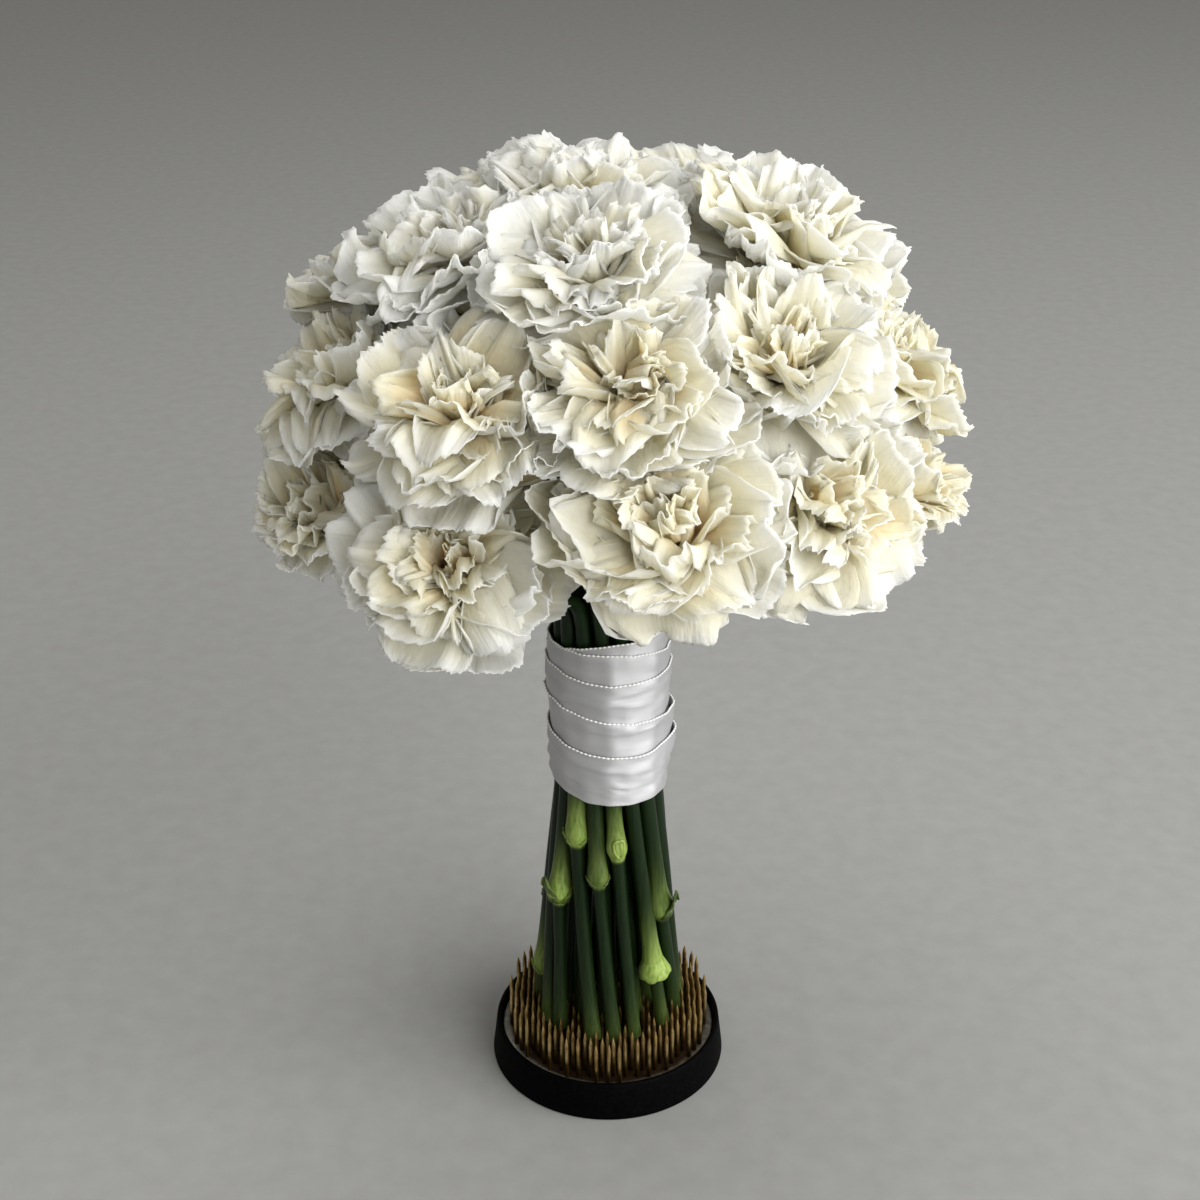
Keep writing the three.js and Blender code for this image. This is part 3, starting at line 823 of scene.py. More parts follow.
def make_stem(bloom, material):
    rng = np.random.default_rng(STEM_SEED + bloom["number"])
    line = even_steps(stem_line(bloom), RING_STEP)
    joint, paleness, left = JOINTS.get(bloom["number"], (None, 0, None))
    girth = rng.uniform(*GIRTHS)
    if joint:
        line = add_joint_rings(bloom, line, joint)
    heights = line[:, 2].copy()
    radii = stem_radius(heights) * np.where(heights < FAN_START, girth, 1)
    radii *= 1 + WAVER * np.sin(heights / WAVER_LENGTH + rng.uniform(0, 6))
    radii += FOOT_FLARE * rng.uniform(*FLARE_SHARES) * np.exp(-(heights - STEM_FOOT) / FLARE_LENGTH)
    pale = rng.uniform(*FOOT_PALENESS) * np.exp(-(heights - STEM_FOOT) / FOOT_PALE_LENGTH)
    if joint:
        above = heights - joint
        radii = swollen(radii, heights, joint, left)
        sheath = np.exp(-(np.maximum(above, 0) / SHEATH_LENGTH) ** SHEATH_FALL)
        pale = np.maximum(pale, sheath * smooth_step(above, *SHEATH_EDGE) * paleness)
        nudge = NUDGE * np.exp(-(above / NUDGE_LENGTH) ** 2) * (joint > NUDGE_FROM)
        line[:, :2] *= 1 + (nudge / np.linalg.norm(line[:, :2], axis=1))[:, None]
    rings = tube(line, radii[:, None], STEM_SIDES)
    bevel = rings[0] - (rings[0] - line[0]) * CUT_BEVEL
    rings = np.concatenate([bevel[None] - [0, 0, CUT_DEPTH], rings])
    pale = np.concatenate([pale[:1], pale])
    ends = np.array([line[0] - [0, 0, CUT_DEPTH], line[-1]])
    parts = {"points": [], "faces": [], "pale": []}
    points = np.concatenate([rings.reshape(-1, 3), ends])
    tones = np.concatenate([np.repeat(pale, STEM_SIDES), [CUT_PALENESS, 0]])
    add_part(parts, points, tube_faces(len(rings), STEM_SIDES), tones)
    add_part(parts, *calyx_rings(bloom, line), CALYX_PALENESS)
    if joint:
        for points, faces in leaf_remains(line, radii, int(np.argmin(abs(above))), left, rng):
            add_part(parts, points, faces, paleness * LEFT_PALENESS[left])
    piece = make_mesh(
        "stalk_%02d" % bloom["number"], np.concatenate(parts["points"]), parts["faces"],
        {"pale": np.concatenate(parts["pale"])},
    )
    piece.data.materials.append(material)
    dress(piece, "stem", "stem_%02d" % bloom["number"])


# Living stem under a bluish wax: deep green with fine lengthways streaks, and lime green at the joints.
material, tree = new_material("waxy green stem")
where = add_node(tree, "ShaderNodeTexCoord")
stretch = add_node(tree, "ShaderNodeMapping", {"Vector": where.outputs["Object"], "Scale": (900, 900, 45)})
streaks = add_node(tree, "ShaderNodeTexNoise", {
    "Vector": stretch.outputs["Vector"], "Scale": 1.0, "Detail": 3.0,
})
deep = add_node(tree, "ShaderNodeValToRGB", {"Fac": streaks.outputs["Fac"]}, [
    (0.3, "#061403"), (0.75, "#102406"),
])
lime = add_node(tree, "ShaderNodeValToRGB", {"Fac": streaks.outputs["Fac"]}, [
    (0.3, "#66842f"), (0.75, "#a6b765"),
])
clouds = add_node(tree, "ShaderNodeTexNoise", {
    "Vector": where.outputs["Object"], "Scale": 55.0, "Detail": 3.0,
})
wax_share = add_node(tree, "ShaderNodeMapRange", {
    "Value": clouds.outputs["Fac"], "From Min": 0.35, "From Max": 0.7, "To Max": 0.55,
})
wax = add_node(tree, "ShaderNodeMix", {
    "Factor": wax_share.outputs["Result"], 6: deep.outputs["Color"], 7: linear("#11210d"),
}, data_type="RGBA")
paleness = add_node(tree, "ShaderNodeAttribute", attribute_name="pale")
colour = add_node(tree, "ShaderNodeMix", {
    "Factor": paleness.outputs["Fac"], 6: wax.outputs[2], 7: lime.outputs["Color"],
}, data_type="RGBA")
bump = add_node(tree, "ShaderNodeBump", {
    "Strength": 0.25, "Distance": 0.0003, "Height": streaks.outputs["Fac"],
})
shader = add_node(tree, "ShaderNodeBsdfPrincipled", {
    "Base Color": colour.outputs[2], "Roughness": 0.4, "IOR": 1.4, "Specular IOR Level": 0.3,
    "Normal": bump.outputs["Normal"], "Subsurface Weight": 0.06, "Subsurface Radius": (0.001, 0.002, 0.0006),
    "Subsurface Scale": 1.0,
})
add_node(tree, "ShaderNodeOutputMaterial", {"Surface": shader.outputs["BSDF"]})
for bloom in blooms:
    make_stem(bloom, material)

# The ribbon is one length of white satin, wound downwards in a spiral so that each turn laps over the one
# above it. Its last turn is level, and at the right two of the turns stand off in a loose fold. It is a sheet
# of points along its turns and across its width, laid over what is under it and closed into a thin shell.
RIBBON_WIDTH = 20
# From the bundle's middle to the outside of the outer stems, and a little more
RIBBON_RADIUS = (STEM_RADIUS + STEM_GAP / 2) * (1 + 1 / math.sin(math.pi / OUTER_STEMS)) + 0.45
RIBBON_LAP = 0.5
RIBBON_THICKNESS = 0.25
SELVEDGE_EXTRA = 0.12
RIBBON_START = math.pi
STEPS_IN_TURN = 80
STEM_DIPS = 0.1
# The height of the ribbon's upper edge at each quarter of a turn, from the left round by the front
UPPER_EDGE = (
    175, 185, 184.5, 181, 178.7, 181.4, 175.3, 174, 172.8, 168.7, 169.4, 165,
    159.7, 154.2, 150.5, 148, 146.2, 140, 141, 140,
)
EDGE_ROUNDING = (-0.1, -0.05, 0, 0.05, 0.1)
# The height of a crease that runs round the last turn, at each of its quarters
CREASE = (131, 128, 125.5, 127, 128)
CREASE_START = 3.9
CREASE_FULL = 4.05
CREASE_DEPTH = 0.35
# How far the step where a turn comes off the one above it is spread, below and above its height
STEP_SPREAD = 0.3
# Places across the ribbon, with close rows on both sides of a step and of the crease
ROW_SHARES = (0, 0.06, 0.36, 0.42, 0.62, 0.68, 0.94, 1)
RIBBON_ROWS = 24
NEAR_EDGE = 0.95
STEP_LIMIT = 0.85
STEP_HALF = 0.03
STEPS_APART = 0.12
# Where the ribbon stands off: the turn, how far round it reaches, how far it stands off and its middle height
FOLDS = ((3.53, 0.09, 1.9, 146), (4.52, 0.06, 2.2, 138))
FOLD_HEIGHT = 9
# A small crumple by the front left of the last turn: the turn, its reach round, its height and its reach up
CRUMPLE = (4.27, 0.022, 128, 2.4)
# How hard the slack's hollows are pressed flat on what is under them
PRESS = 6


def upper_edge(turns):
    """The upper edge's height, rounded off between the quarters of a turn."""
    quarters = np.arange(len(UPPER_EDGE)) / 4
    nearby = [np.interp(turns + shift, quarters, UPPER_EDGE) for shift in EDGE_ROUNDING]
    return np.mean(nearby, axis=0)


def crease_height(turns):
    return np.interp(turns, 4 + np.arange(len(CREASE)) / 4, CREASE)


def across_ribbon(turns):
    """The places across the ribbon, from -1 at its lower edge to 1, with rows on both sides of each step."""
    def place_of(height):
        place = 1 + (height - upper_edge(turns)) * 2 / RIBBON_WIDTH
        return np.clip(place, -STEP_LIMIT, STEP_LIMIT)
    step = place_of(upper_edge(turns - 1) - RIBBON_WIDTH)
    second_step = upper_edge(turns - 2) - RIBBON_WIDTH
    other = place_of(np.where(turns < CREASE_START, second_step, crease_height(turns)))
    lower = np.minimum(step, other)
    upper = np.maximum(np.maximum(step, other), lower + STEPS_APART)
    shares = np.linspace(0, 1, RIBBON_ROWS)
    return np.array([
        np.interp(shares, ROW_SHARES, (
            -1, -NEAR_EDGE, low - STEP_HALF, low + STEP_HALF,
            high - STEP_HALF, high + STEP_HALF, NEAR_EDGE, 1,
        ))
        for low, high in zip(lower, upper)
    ])


def turns_under(turns, height):
    """How many turns of the ribbon lie under this one at a height."""
    count = 0
    for back in range(1, 5):
        above = upper_edge(turns - back)
        inside = smooth_step(height - (above - RIBBON_WIDTH), -STEP_SPREAD, STEP_SPREAD)
        inside = inside * smooth_step(above + 0.3 - height, -0.4, 0.4)
        count = count + np.where(turns < back, 0, inside)
    return count


def slack_of(angle, height):
    """How far the ribbon stands off what it is wound on. Its waves close up over a whole turn, so that no
    turn passes through another, and its hollows are pressed flat."""
    slack = 0.3 + 0.42 * np.sin(angle * 4 + height * 0.42) * np.sin(angle - height * 0.3 + 1)
    slack = slack + 0.3 * np.sin(angle * 8 - height * 0.6 + 2) * np.sin(height * 0.37 + angle)
    slack = slack + 0.15 * np.sin(angle * 13 + height * 0.8) * np.sin(height * 0.55 - angle * 3)
    return np.logaddexp(0, slack * PRESS) / PRESS


def ribbon_radius(turns, height):
    """How far out the ribbon lies: over the turns that it laps, and in against the stems below them."""
    angle = turns * 2 * math.pi
    radius = RIBBON_RADIUS + RIBBON_LAP * turns_under(turns, height)
    radius = radius + STEM_DIPS * np.cos(angle * OUTER_STEMS)
    for middle, reach, rise, level in FOLDS:
        bulge = np.exp(-((turns - middle) / reach) ** 2) * np.exp(-((height - level) / FOLD_HEIGHT) ** 2)
        radius = radius + rise * bulge
    creased = smooth_step(height - crease_height(turns), -0.25, 0.25)
    radius = radius + CREASE_DEPTH * creased * smooth_step(turns, CREASE_START, CREASE_FULL)
    middle, reach, level, rise = CRUMPLE
    crumple = np.exp(-((turns - middle) / reach) ** 2 - ((height - level) / rise) ** 2)
    crumple = crumple * (0.6 + 0.5 * np.sin(height * 2.6 + angle * 22))
    return radius + slack_of(angle, height) + crumple


def ribbon_point(turns, height, lift=0):
    radius = ribbon_radius(turns, height) + lift
    angle = RIBBON_START + turns * 2 * math.pi
    return np.stack([radius * np.cos(angle), radius * np.sin(angle), height], axis=-1)


last_turn = (len(UPPER_EDGE) - 1) / 4 + 0.1
turns = np.linspace(-0.1, last_turn, int(last_turn * STEPS_IN_TURN))
across = across_ribbon(turns)
turns = np.broadcast_to(turns[:, None], across.shape)
sheet = ribbon_point(turns, upper_edge(turns) + (across - 1) * RIBBON_WIDTH / 2)
points, faces = closed_sheet(sheet, RIBBON_THICKNESS + SELVEDGE_EXTRA * (abs(across) > NEAR_EDGE))
middle_row = sheet[:, RIBBON_ROWS // 2]
run = np.concatenate([[0], np.cumsum(np.linalg.norm(np.diff(middle_row, axis=0), axis=1))])
cut = np.stack([np.broadcast_to(run[:, None], across.shape), across * RIBBON_WIDTH / 2], axis=-1)
ribbon = make_mesh("satin_ribbon", points, faces, {})
add_layout(ribbon, np.concatenate([cut.reshape(-1, 2)] * 2))
# Satin of polyester thread: its long floats run along the ribbon, so it shines in an upright streak across
# them. The threads are drawn 0.25 mm apart, coarser than they are, so that they just show.
FLOAT_SPACING = 0.25 * MM
material, tree = new_material("polyester satin")
layout = add_node(tree, "ShaderNodeUVMap", uv_map="cut")
axes = add_node(tree, "ShaderNodeSeparateXYZ", {"Vector": layout.outputs["UV"]})
floats = add_node(tree, "ShaderNodeMath", {
    0: axes.outputs["Y"], 1: 2 * math.pi / FLOAT_SPACING,
}, operation="MULTIPLY")
float_wave = add_node(tree, "ShaderNodeMath", {0: floats.outputs["Value"]}, operation="SINE")
stretch = add_node(tree, "ShaderNodeMapping", {"Vector": layout.outputs["UV"], "Scale": (40, 250, 1)})
slubs = add_node(tree, "ShaderNodeTexNoise", {
    "Vector": stretch.outputs["Vector"], "Scale": 1.0, "Detail": 3.0,
})
relief = add_node(tree, "ShaderNodeMath", {
    0: slubs.outputs["Fac"], 1: 2.0, 2: float_wave.outputs["Value"],
}, operation="MULTIPLY_ADD")
bump = add_node(tree, "ShaderNodeBump", {
    "Strength": 0.03, "Distance": 0.0001, "Height": relief.outputs["Value"],
})
float_way = add_node(tree, "ShaderNodeTangent", direction_type="UV_MAP", uv_map="cut")
tint = add_node(tree, "ShaderNodeValToRGB", {"Fac": slubs.outputs["Fac"]}, [
    (0.3, "#b7b7b8"), (0.7, "#c3c3c5"),
])
shader = add_node(tree, "ShaderNodeBsdfPrincipled", {
    "Base Color": tint.outputs["Color"], "Roughness": 0.5, "Metallic": 0.55, "Specular IOR Level": 0.8,
    "Anisotropic": 0.8, "Anisotropic Rotation": 0.25, "Tangent": float_way.outputs["Tangent"],
    "Sheen Weight": 0.2, "Sheen Roughness": 0.4, "Normal": bump.outputs["Normal"],
})
add_node(tree, "ShaderNodeOutputMaterial", {"Surface": shader.outputs["BSDF"]})
ribbon.data.materials.append(material)
dress(ribbon, "satin", "ribbon")

# A white thread is whipped over the ribbon's upper edge in short stitches, to keep the cut edge from fraying.
# It is a tube along the edge that swells at each stitch.
STITCH = 1.5
THREAD_RADIUS = 0.23
THREAD_SWELL = 0.85
THREAD_SIDES = 5
RINGS_IN_STITCH = 4
# How far the thread lies under the edge and off the ribbon's middle surface
THREAD_DROP = 0.15
THREAD_LIFT = 0.2
stitches_in_turn = 2 * math.pi * RIBBON_RADIUS / STITCH
turns = np.linspace(0, last_turn, int(last_turn * stitches_in_turn * RINGS_IN_STITCH))
path = ribbon_point(turns, upper_edge(turns) - THREAD_DROP, THREAD_LIFT)
radii = THREAD_RADIUS * (1 + THREAD_SWELL * np.sin(turns * stitches_in_turn * 2 * math.pi))
rings = tube(path, radii[:, None], THREAD_SIDES)
points = np.concatenate([rings.reshape(-1, 3), path[[0, -1]]])
thread = make_mesh("edge_thread", points, tube_faces(len(rings), THREAD_SIDES), {})
# Spun polyester: white and matt, with a fuzz of loose fibres that takes the light at its edges.
material, tree = new_material("spun polyester thread")
where = add_node(tree, "ShaderNodeTexCoord")
fuzz = add_node(tree, "ShaderNodeTexNoise", {
    "Vector": where.outputs["Object"], "Scale": 2500.0, "Detail": 2.0,
})
tint = add_node(tree, "ShaderNodeValToRGB", {"Fac": fuzz.outputs["Fac"]}, [
    (0.3, "#e6e6e2"), (0.7, "#fafaf7"),
])
shader = add_node(tree, "ShaderNodeBsdfPrincipled", {
    "Base Color": tint.outputs["Color"], "Roughness": 0.5, "Sheen Weight": 0.3, "Sheen Roughness": 0.5,
})
add_node(tree, "ShaderNodeOutputMaterial", {"Surface": shader.outputs["BSDF"]})
thread.data.materials.append(material)
dress(thread, "satin", "ribbon")

# Each bloom is fifty thin petals that open from the calyx's mouth, broad and bent right out on the outside,
# and upright and crimped in the middle. A petal is made as a thin shell whose rows run from its narrow claw
# to its toothed rim. Neighbours press on each other, so a bloom is flattened where they meet.
PETALS = 50
BLOOM_SEED = 500
GOLDEN_ANGLE = math.radians(137.5)
BLOOM_TURN = 2.1
TURN_SPREAD = 0.12
ROOT_HEIGHT = -9
# For a petal's rank, from the outermost at 0 to the innermost at 1
RANKS = (0, 0.2, 0.45, 0.7, 1)
BEND = (97, 82, 65, 42, 8)
LENGTH = (45, 47, 45, 38, 32)
HALF_WIDTH = (21, 19, 15.5, 12.5, 10)
CRIMP = (0.6, 0.8, 1.0, 1.2, 1.3)
CRIMPS = (1.7, 1.8, 1.8, 2.0, 2.2)
CUP_RADIUS = (60, 34, 22, 15, 11)
ROOT_RADIUS = (3.8, 3.2, 2.4, 1.5, 0.4)
CURL = (-0.3, -0.2, 0.1, 0.25, 0.2)
# How much petals of one rank differ
LENGTH_SPREAD = 0.04
WIDTH_SPREAD = 0.08
CRIMP_SPREAD = 0.15
CRIMPS_SPREAD = 0.25
BEND_SPREAD = 11
CURL_SPREAD = 0.65
TILT_SPREAD = 0.28
TILT_LIMIT = 0.7
# Waves start anywhere in about one full turn, in radians
FULL_TURN = 6.3
# The rim: one notch, teeth of uneven length with short ones between, a slow wave and rounded corners
NOTCH_PLACE = 0.7
NOTCH_HALF_WIDTH = 0.06
NOTCH_DEPTHS = (0.5, 3.5)
TEETH = (0.2, 1.2)
SHORT_TOOTH = 0.15
RIM_WAVE = 0.035
RIM_WAVES = 4.1
RIM_ROUND = 0.07
CORNER_ROUND = 0.2
CLAW_HALF_WIDTH = 1.6
# Where between claw at 0 and rim at 1 the petal widens, and where crimps, pleats and ribs grow
WIDENS = (0.1, 0.85)
WIDEN_POWER = 0.7
CRIMPS_GROW = (0.25, 1.1)
PLEATS_GROW = (0.5, 1)
RIBS_GROW = (0.4, 0.95)
# The crimps run down from the rim and slant a little, with finer pleats and a rib at every other column
FINE_CRIMP = 0.35
FINE_CRIMPS = 1.8
SLANT = 1.4
PLEAT = 0.8
PLEATS = (3.5, 5)
PLEAT_SHARES = (0.4, 1.2)
RIB_HEIGHT = 0.36
RIB_SHARES = (0.3, 1)
BUCKLE = 1.1
BUCKLE_WAVES = (4.5, 1.5)
# The claw stands up at this angle in radians, and the blade bends out from there
CLAW_ANGLE = 0.12
BEND_START = 0.08
BEND_END = 0.45
INNER_BEND_LATER = 0.45
CURL_GROWS = (0.55, 1.1)
# How far past its middle line a rim may reach, as a share of the line
REACH_LIMIT = 1.1
PATH_STEPS = 40
# Rows from claw to rim and columns across, finer in the outer petals, which show their whole blade
OUTER_ROWS = (0, 0.27, 0.4, 0.52, 0.64, 0.75, 0.86, 0.96, 1)
INNER_ROWS = (0, 0.3, 0.49, 0.66, 0.82, 0.955, 1)
OUTER_RANK = 0.24
OUTER_COLUMNS = 37
INNER_COLUMNS = 25
# The claws are hidden, so there the columns are fewer
CLAW_STEP = 4
OUTER_CLAW_ROWS = 4
INNER_CLAW_ROWS = 3
CLAW_THICKNESS = 0.5
RIM_THICKNESS = 0.24
# How far apart the petals' layouts are set, in millimetres
PETAL_SPACING = 50
DRIFT_WAVES = 4


def from_rank(rank, values):
    return float(np.interp(rank, RANKS, values))


def drift(points, rng, wavelength, amount):
    """A smooth wandering offset for each point."""
    offset = np.zeros_like(points)
    for _ in range(DRIFT_WAVES):
        wave = rng.normal(size=3)
        wave *= 2 * math.pi / wavelength / np.linalg.norm(wave)
        offset += np.sin(points @ wave + rng.uniform(0, FULL_TURN))[..., None] * rng.normal(size=3)
    return offset * amount / math.sqrt(DRIFT_WAVES)


outer_grid = np.array(OUTER_ROWS), np.linspace(-1, 1, OUTER_COLUMNS)
inner_grid = np.array(INNER_ROWS), np.linspace(-1, 1, INNER_COLUMNS)


def petal_outline(rank, size, across, rng):
    """A petal's length and half width, how far its rim reaches at each column, and its teeth beyond that."""
    length = from_rank(rank, LENGTH) * size * rng.normal(1, LENGTH_SPREAD)
    half_width = from_rank(rank, HALF_WIDTH) * size * rng.normal(1, WIDTH_SPREAD)
    place = rng.uniform(-NOTCH_PLACE, NOTCH_PLACE)
    depth = rng.uniform(NOTCH_DEPTHS[0], NOTCH_DEPTHS[1] - 2 * rank)
    notch = np.exp(-((across - place) / NOTCH_HALF_WIDTH) ** 2) * depth
    teeth = rng.uniform(*TEETH, len(across)) * np.where(np.arange(len(across)) % 2, 1, SHORT_TOOTH)
    wave = RIM_WAVE * np.sin(across * RIM_WAVES + rng.uniform(0, FULL_TURN))
    rim = length * (1 + wave - RIM_ROUND * across ** 2 - CORNER_ROUND * across ** 6) - notch
    return length, half_width, rim, teeth


def crimped_rows(rank, half_width, out, across, rng):
    """How far to the side and how high each point of a petal's rows lies, when the rows are crimped."""
    width = CLAW_HALF_WIDTH + (half_width - CLAW_HALF_WIDTH) * smooth_step(out, *WIDENS) ** WIDEN_POWER
    crimp = from_rank(rank, CRIMP) * rng.normal(1, CRIMP_SPREAD) * smooth_step(out, *CRIMPS_GROW)
    phase = rng.uniform(0, FULL_TURN)
    turns = from_rank(rank, CRIMPS) + rng.uniform(-CRIMPS_SPREAD, CRIMPS_SPREAD)
    slant = rng.uniform(-SLANT, SLANT) * out[:, None]
    slope = np.sin(math.pi * turns * across + phase + slant)
    slope = slope + FINE_CRIMP * np.sin(math.pi * turns * FINE_CRIMPS * across + phase * 2 - slant)
    pleats = np.sin(math.pi * rng.uniform(*PLEATS) * across + phase * 3 + slant * 2)
    pleats = PLEAT * rng.uniform(*PLEAT_SHARES) * pleats * smooth_step(out, *PLEATS_GROW)[:, None]
    slope = crimp[:, None] * slope + pleats
    step = width[:, None] * (across[1] - across[0])
    side = np.cumsum(np.cos(slope) * step, axis=1)
    lift = np.cumsum(np.sin(slope) * step, axis=1)
    side -= side.mean(axis=1, keepdims=True)
    trend = (lift * side).sum(axis=1, keepdims=True)
    trend = trend / np.maximum((side ** 2).sum(axis=1, keepdims=True), 1e-6)
    lift = lift - lift.mean(axis=1, keepdims=True) - trend * side
    lift = lift + side * math.tan(np.clip(rng.normal(0, TILT_SPREAD), -TILT_LIMIT, TILT_LIMIT))
    ribs = rng.uniform(*RIB_SHARES) * RIB_HEIGHT * np.where(np.arange(len(across)) % 2, 1, -1)
    lift = lift + ribs * smooth_step(out, *RIBS_GROW)[:, None]
    along, over = BUCKLE_WAVES
    buckle = np.sin(out[:, None] * along + across[None] * over + rng.uniform(0, FULL_TURN))
    return side, lift + BUCKLE * buckle * out[:, None]


def petal_path(rank, length, rng):
    """A petal's middle line: steps from 0 to 1, and at each how far out and up it lies and how it leans."""
    bend = math.radians(from_rank(rank, BEND) + rng.normal(0, BEND_SPREAD))
    curl = rng.normal(from_rank(rank, CURL), CURL_SPREAD)
    steps = np.linspace(0, 1, PATH_STEPS)
    bent = smooth_step(steps, BEND_START, BEND_END + INNER_BEND_LATER * rank)
    lean = CLAW_ANGLE + (bend - CLAW_ANGLE) * bent + curl * smooth_step(steps, *CURL_GROWS)
    spans = PATH_STEPS - 1
    path_out = np.concatenate([[0], np.cumsum(np.sin(lean[:-1]))]) * length / spans
    path_up = np.concatenate([[0], np.cumsum(np.cos(lean[:-1]))]) * length / spans
    return steps, path_out + from_rank(rank, ROOT_RADIUS), path_up + ROOT_HEIGHT, lean


def petal_sheet(rank, turn, size, rng):
    """One petal's middle surface in the bloom's own frame, and its teeth. Its crimped rows are laid along its
    middle line and cupped round the bloom's axis."""
    out, across = outer_grid if rank < OUTER_RANK else inner_grid
    length, half_width, rim, teeth = petal_outline(rank, size, across, rng)
    side, lift = crimped_rows(rank, half_width, out, across, rng)
    steps, path_out, path_up, lean = petal_path(rank, length, rng)
    along = np.clip(out[:, None] * rim[None] / length, 0, REACH_LIMIT)
    beyond = np.maximum(along - 1, 0) * length
    centre_out = np.interp(along, steps, path_out) + beyond * math.sin(lean[-1])
    centre_up = np.interp(along, steps, path_up) + beyond * math.cos(lean[-1])
    tilt = np.interp(along, steps, lean)
    cup = from_rank(rank, CUP_RADIUS) * size
    from_axis = cup + lift * np.cos(tilt)
    x = centre_out - cup + from_axis * np.cos(side / cup)
    y = from_axis * np.sin(side / cup)
    z = centre_up - lift * np.sin(tilt)
    return np.stack([
        x * math.cos(turn) - y * math.sin(turn), x * math.sin(turn) + y * math.cos(turn), z,
    ], axis=-1), teeth


# What presses on a bloom: the planes half-way to its neighbours, a round limit about its own axis, and the
# round of the whole head. Near each limit a point gives way softly, from a share of the limit on.
BLOOM_REACH = 40
CELL_SOFT_START = 0.78
CELL_RAISE = 0.95
# How far a bloom hangs below its middle
HANG = 20.5
# Half the width, depth and height of the whole head's round
HEAD_ROUND = (126, 126, 119)
ROUND_SOFT_START = 0.84
# How square the round is in profile above its middle, where 2 would be an ellipse
SHOULDERS = 2.8
# The outermost petals reach over the neighbours' by this share, which fades up to this rank
GUARD_SPREAD = 0.32
GUARD_RANK = 0.3
# Points wander by so much over such a wavelength, and the limits are looser here and there
WANDER = 1.5
WANDER_LENGTH = 26
LOOSE = 1.08
LOOSE_SPREAD = 0.08
LOOSE_LENGTH = 14
# Each bloom leans by a drawn amount, or by a set one where its neighbours push it over
LEAN_SEED = 700
LEAN_SPREAD = 0.09
LEANS = {
    2: (0.3, 0, -0.14), 3: (-0.15, 0, -0.02), 9: (-0.1, -0.03, 0.08), 13: (0.16, 0, -0.1),
    14: (-0.03, 0.03, -0.06), 20: (0.09, 0.07, -0.12),
}
# Blooms whose lowest petals stay up: the height that they hang from, and how much of their drop is left
DRAWN_UP = {1: (243, 0.45), 5: (246, 0.35)}


def cell_of(bloom):
    """What holds a bloom in: directions in its frame to its neighbours and down, and its reach in each."""
    others = [other for other in blooms if other is not bloom]
    between = np.array([other["middle"] - bloom["middle"] for other in others])
    distance = np.linalg.norm(between, axis=1)
    share = np.array([bloom["size"] / (bloom["size"] + other["size"]) for other in others])
    away = np.concatenate([between / distance[:, None], [[0, 0, -1]]])
    return away @ bloom["stand"], np.append(distance * share, HANG)


def squeeze(gauge, start):
    """How much to draw a point in, where its gauge is 1 at the limit and it starts to give way at start."""
    soft = start + (1 - start) * (1 - np.exp((start - gauge) / (1 - start)))
    return np.where(gauge <= start, 1, soft / np.maximum(gauge, 1e-6))


def into_head(points):
    """Presses points in under the round surface of the whole head, as the hand that ties it does."""
    from_middle = (points - HEAD_MIDDLE) / HEAD_ROUND
    out = np.hypot(from_middle[..., 0], from_middle[..., 1])
    power = np.where(from_middle[..., 2] > 0, SHOULDERS, 2)
    gauge = (out ** power + abs(from_middle[..., 2]) ** power) ** (1 / power)
    return HEAD_MIDDLE + from_middle * squeeze(gauge, ROUND_SOFT_START)[..., None] * HEAD_ROUND


def into_cell(points, directions, reaches, loose, spread):
    """Draws points in where they would pass into a neighbour or out of the bloom's round, and lifts them by
    part of what they lost."""
    limit = reaches[None] * loose[:, None]
    limit[:, :-1] *= spread[:, None]

    def pressed(flat):
        gauge = (flat @ directions.T / limit).max(axis=1)
        round_gauge = np.hypot(flat[:, 0], flat[:, 1]) / (BLOOM_REACH * loose)
        return squeeze(np.maximum(gauge, round_gauge), CELL_SOFT_START)

    raised = points.copy()
    raised[:, 2] += CELL_RAISE * np.hypot(points[:, 0], points[:, 1]) * (1 - pressed(points))
    return raised * pressed(raised)[:, None]


def stand_of(axis):
    """A turn that stands +Z along an axis, as a matrix whose columns are the bloom's own axes."""
    return np.array(Vector((0, 0, 1)).rotation_difference(Vector(axis)).to_matrix())


def flat_faces(grid, claw_rows):
    """A petal's faces as their corners, sizes and which are smooth, and which of a skin's points it uses."""
    skins, sides, used = shell_faces(len(grid[0]), len(grid[1]), claw_rows, CLAW_STEP)
    faces = skins + sides
    smooth = np.arange(len(faces)) < len(skins)
    return np.concatenate(faces), np.array([len(face) for face in faces]), smooth, used


outer_faces = flat_faces(outer_grid, OUTER_CLAW_ROWS)
inner_faces = flat_faces(inner_grid, INNER_CLAW_ROWS)
# How cream a petal is: at the rim of the outermost, what is added up to the innermost and down to the claw,
# where the cream is partly the petal's own and partly painted shade deep in the bloom
CREAM_RIM = 0.17
CREAM_INNER = 0.36
CLAW_CREAM_AND_SHADE = 0.8
CLAW_FALL = 1.35
CREAM_SPREAD = 0.09
# A bloom's own warmth: its mean and spread, what it gains to the right, and what it loses between these
# elevations, where the blooms are whiter, partly in their own tone and partly as painted light on the top of
# the head, which takes the light from above
WARMTH = (0.05, 0.035)
WARM_RIGHT = 0.04
WHITE_TOP = 0.24
WHITE_FROM = (35, 62)


def press(bloom, points, spread, rng):
    """Takes points from a bloom's frame to the head, pressed by its neighbours and by the head's round."""
    moved = points + drift(points, rng, WANDER_LENGTH, WANDER)
    loose = LOOSE + LOOSE_SPREAD * drift(points, rng, LOOSE_LENGTH, 1.0)[:, 0]
    moved = into_cell(moved, *cell_of(bloom), loose, spread)
    moved = into_head(moved @ bloom["stand"].T + bloom["middle"])
    level, share = DRAWN_UP.get(bloom["number"], (0, 1))
    moved[:, 2] -= (1 - share) * np.minimum(moved[:, 2] - level, 0)
    return moved


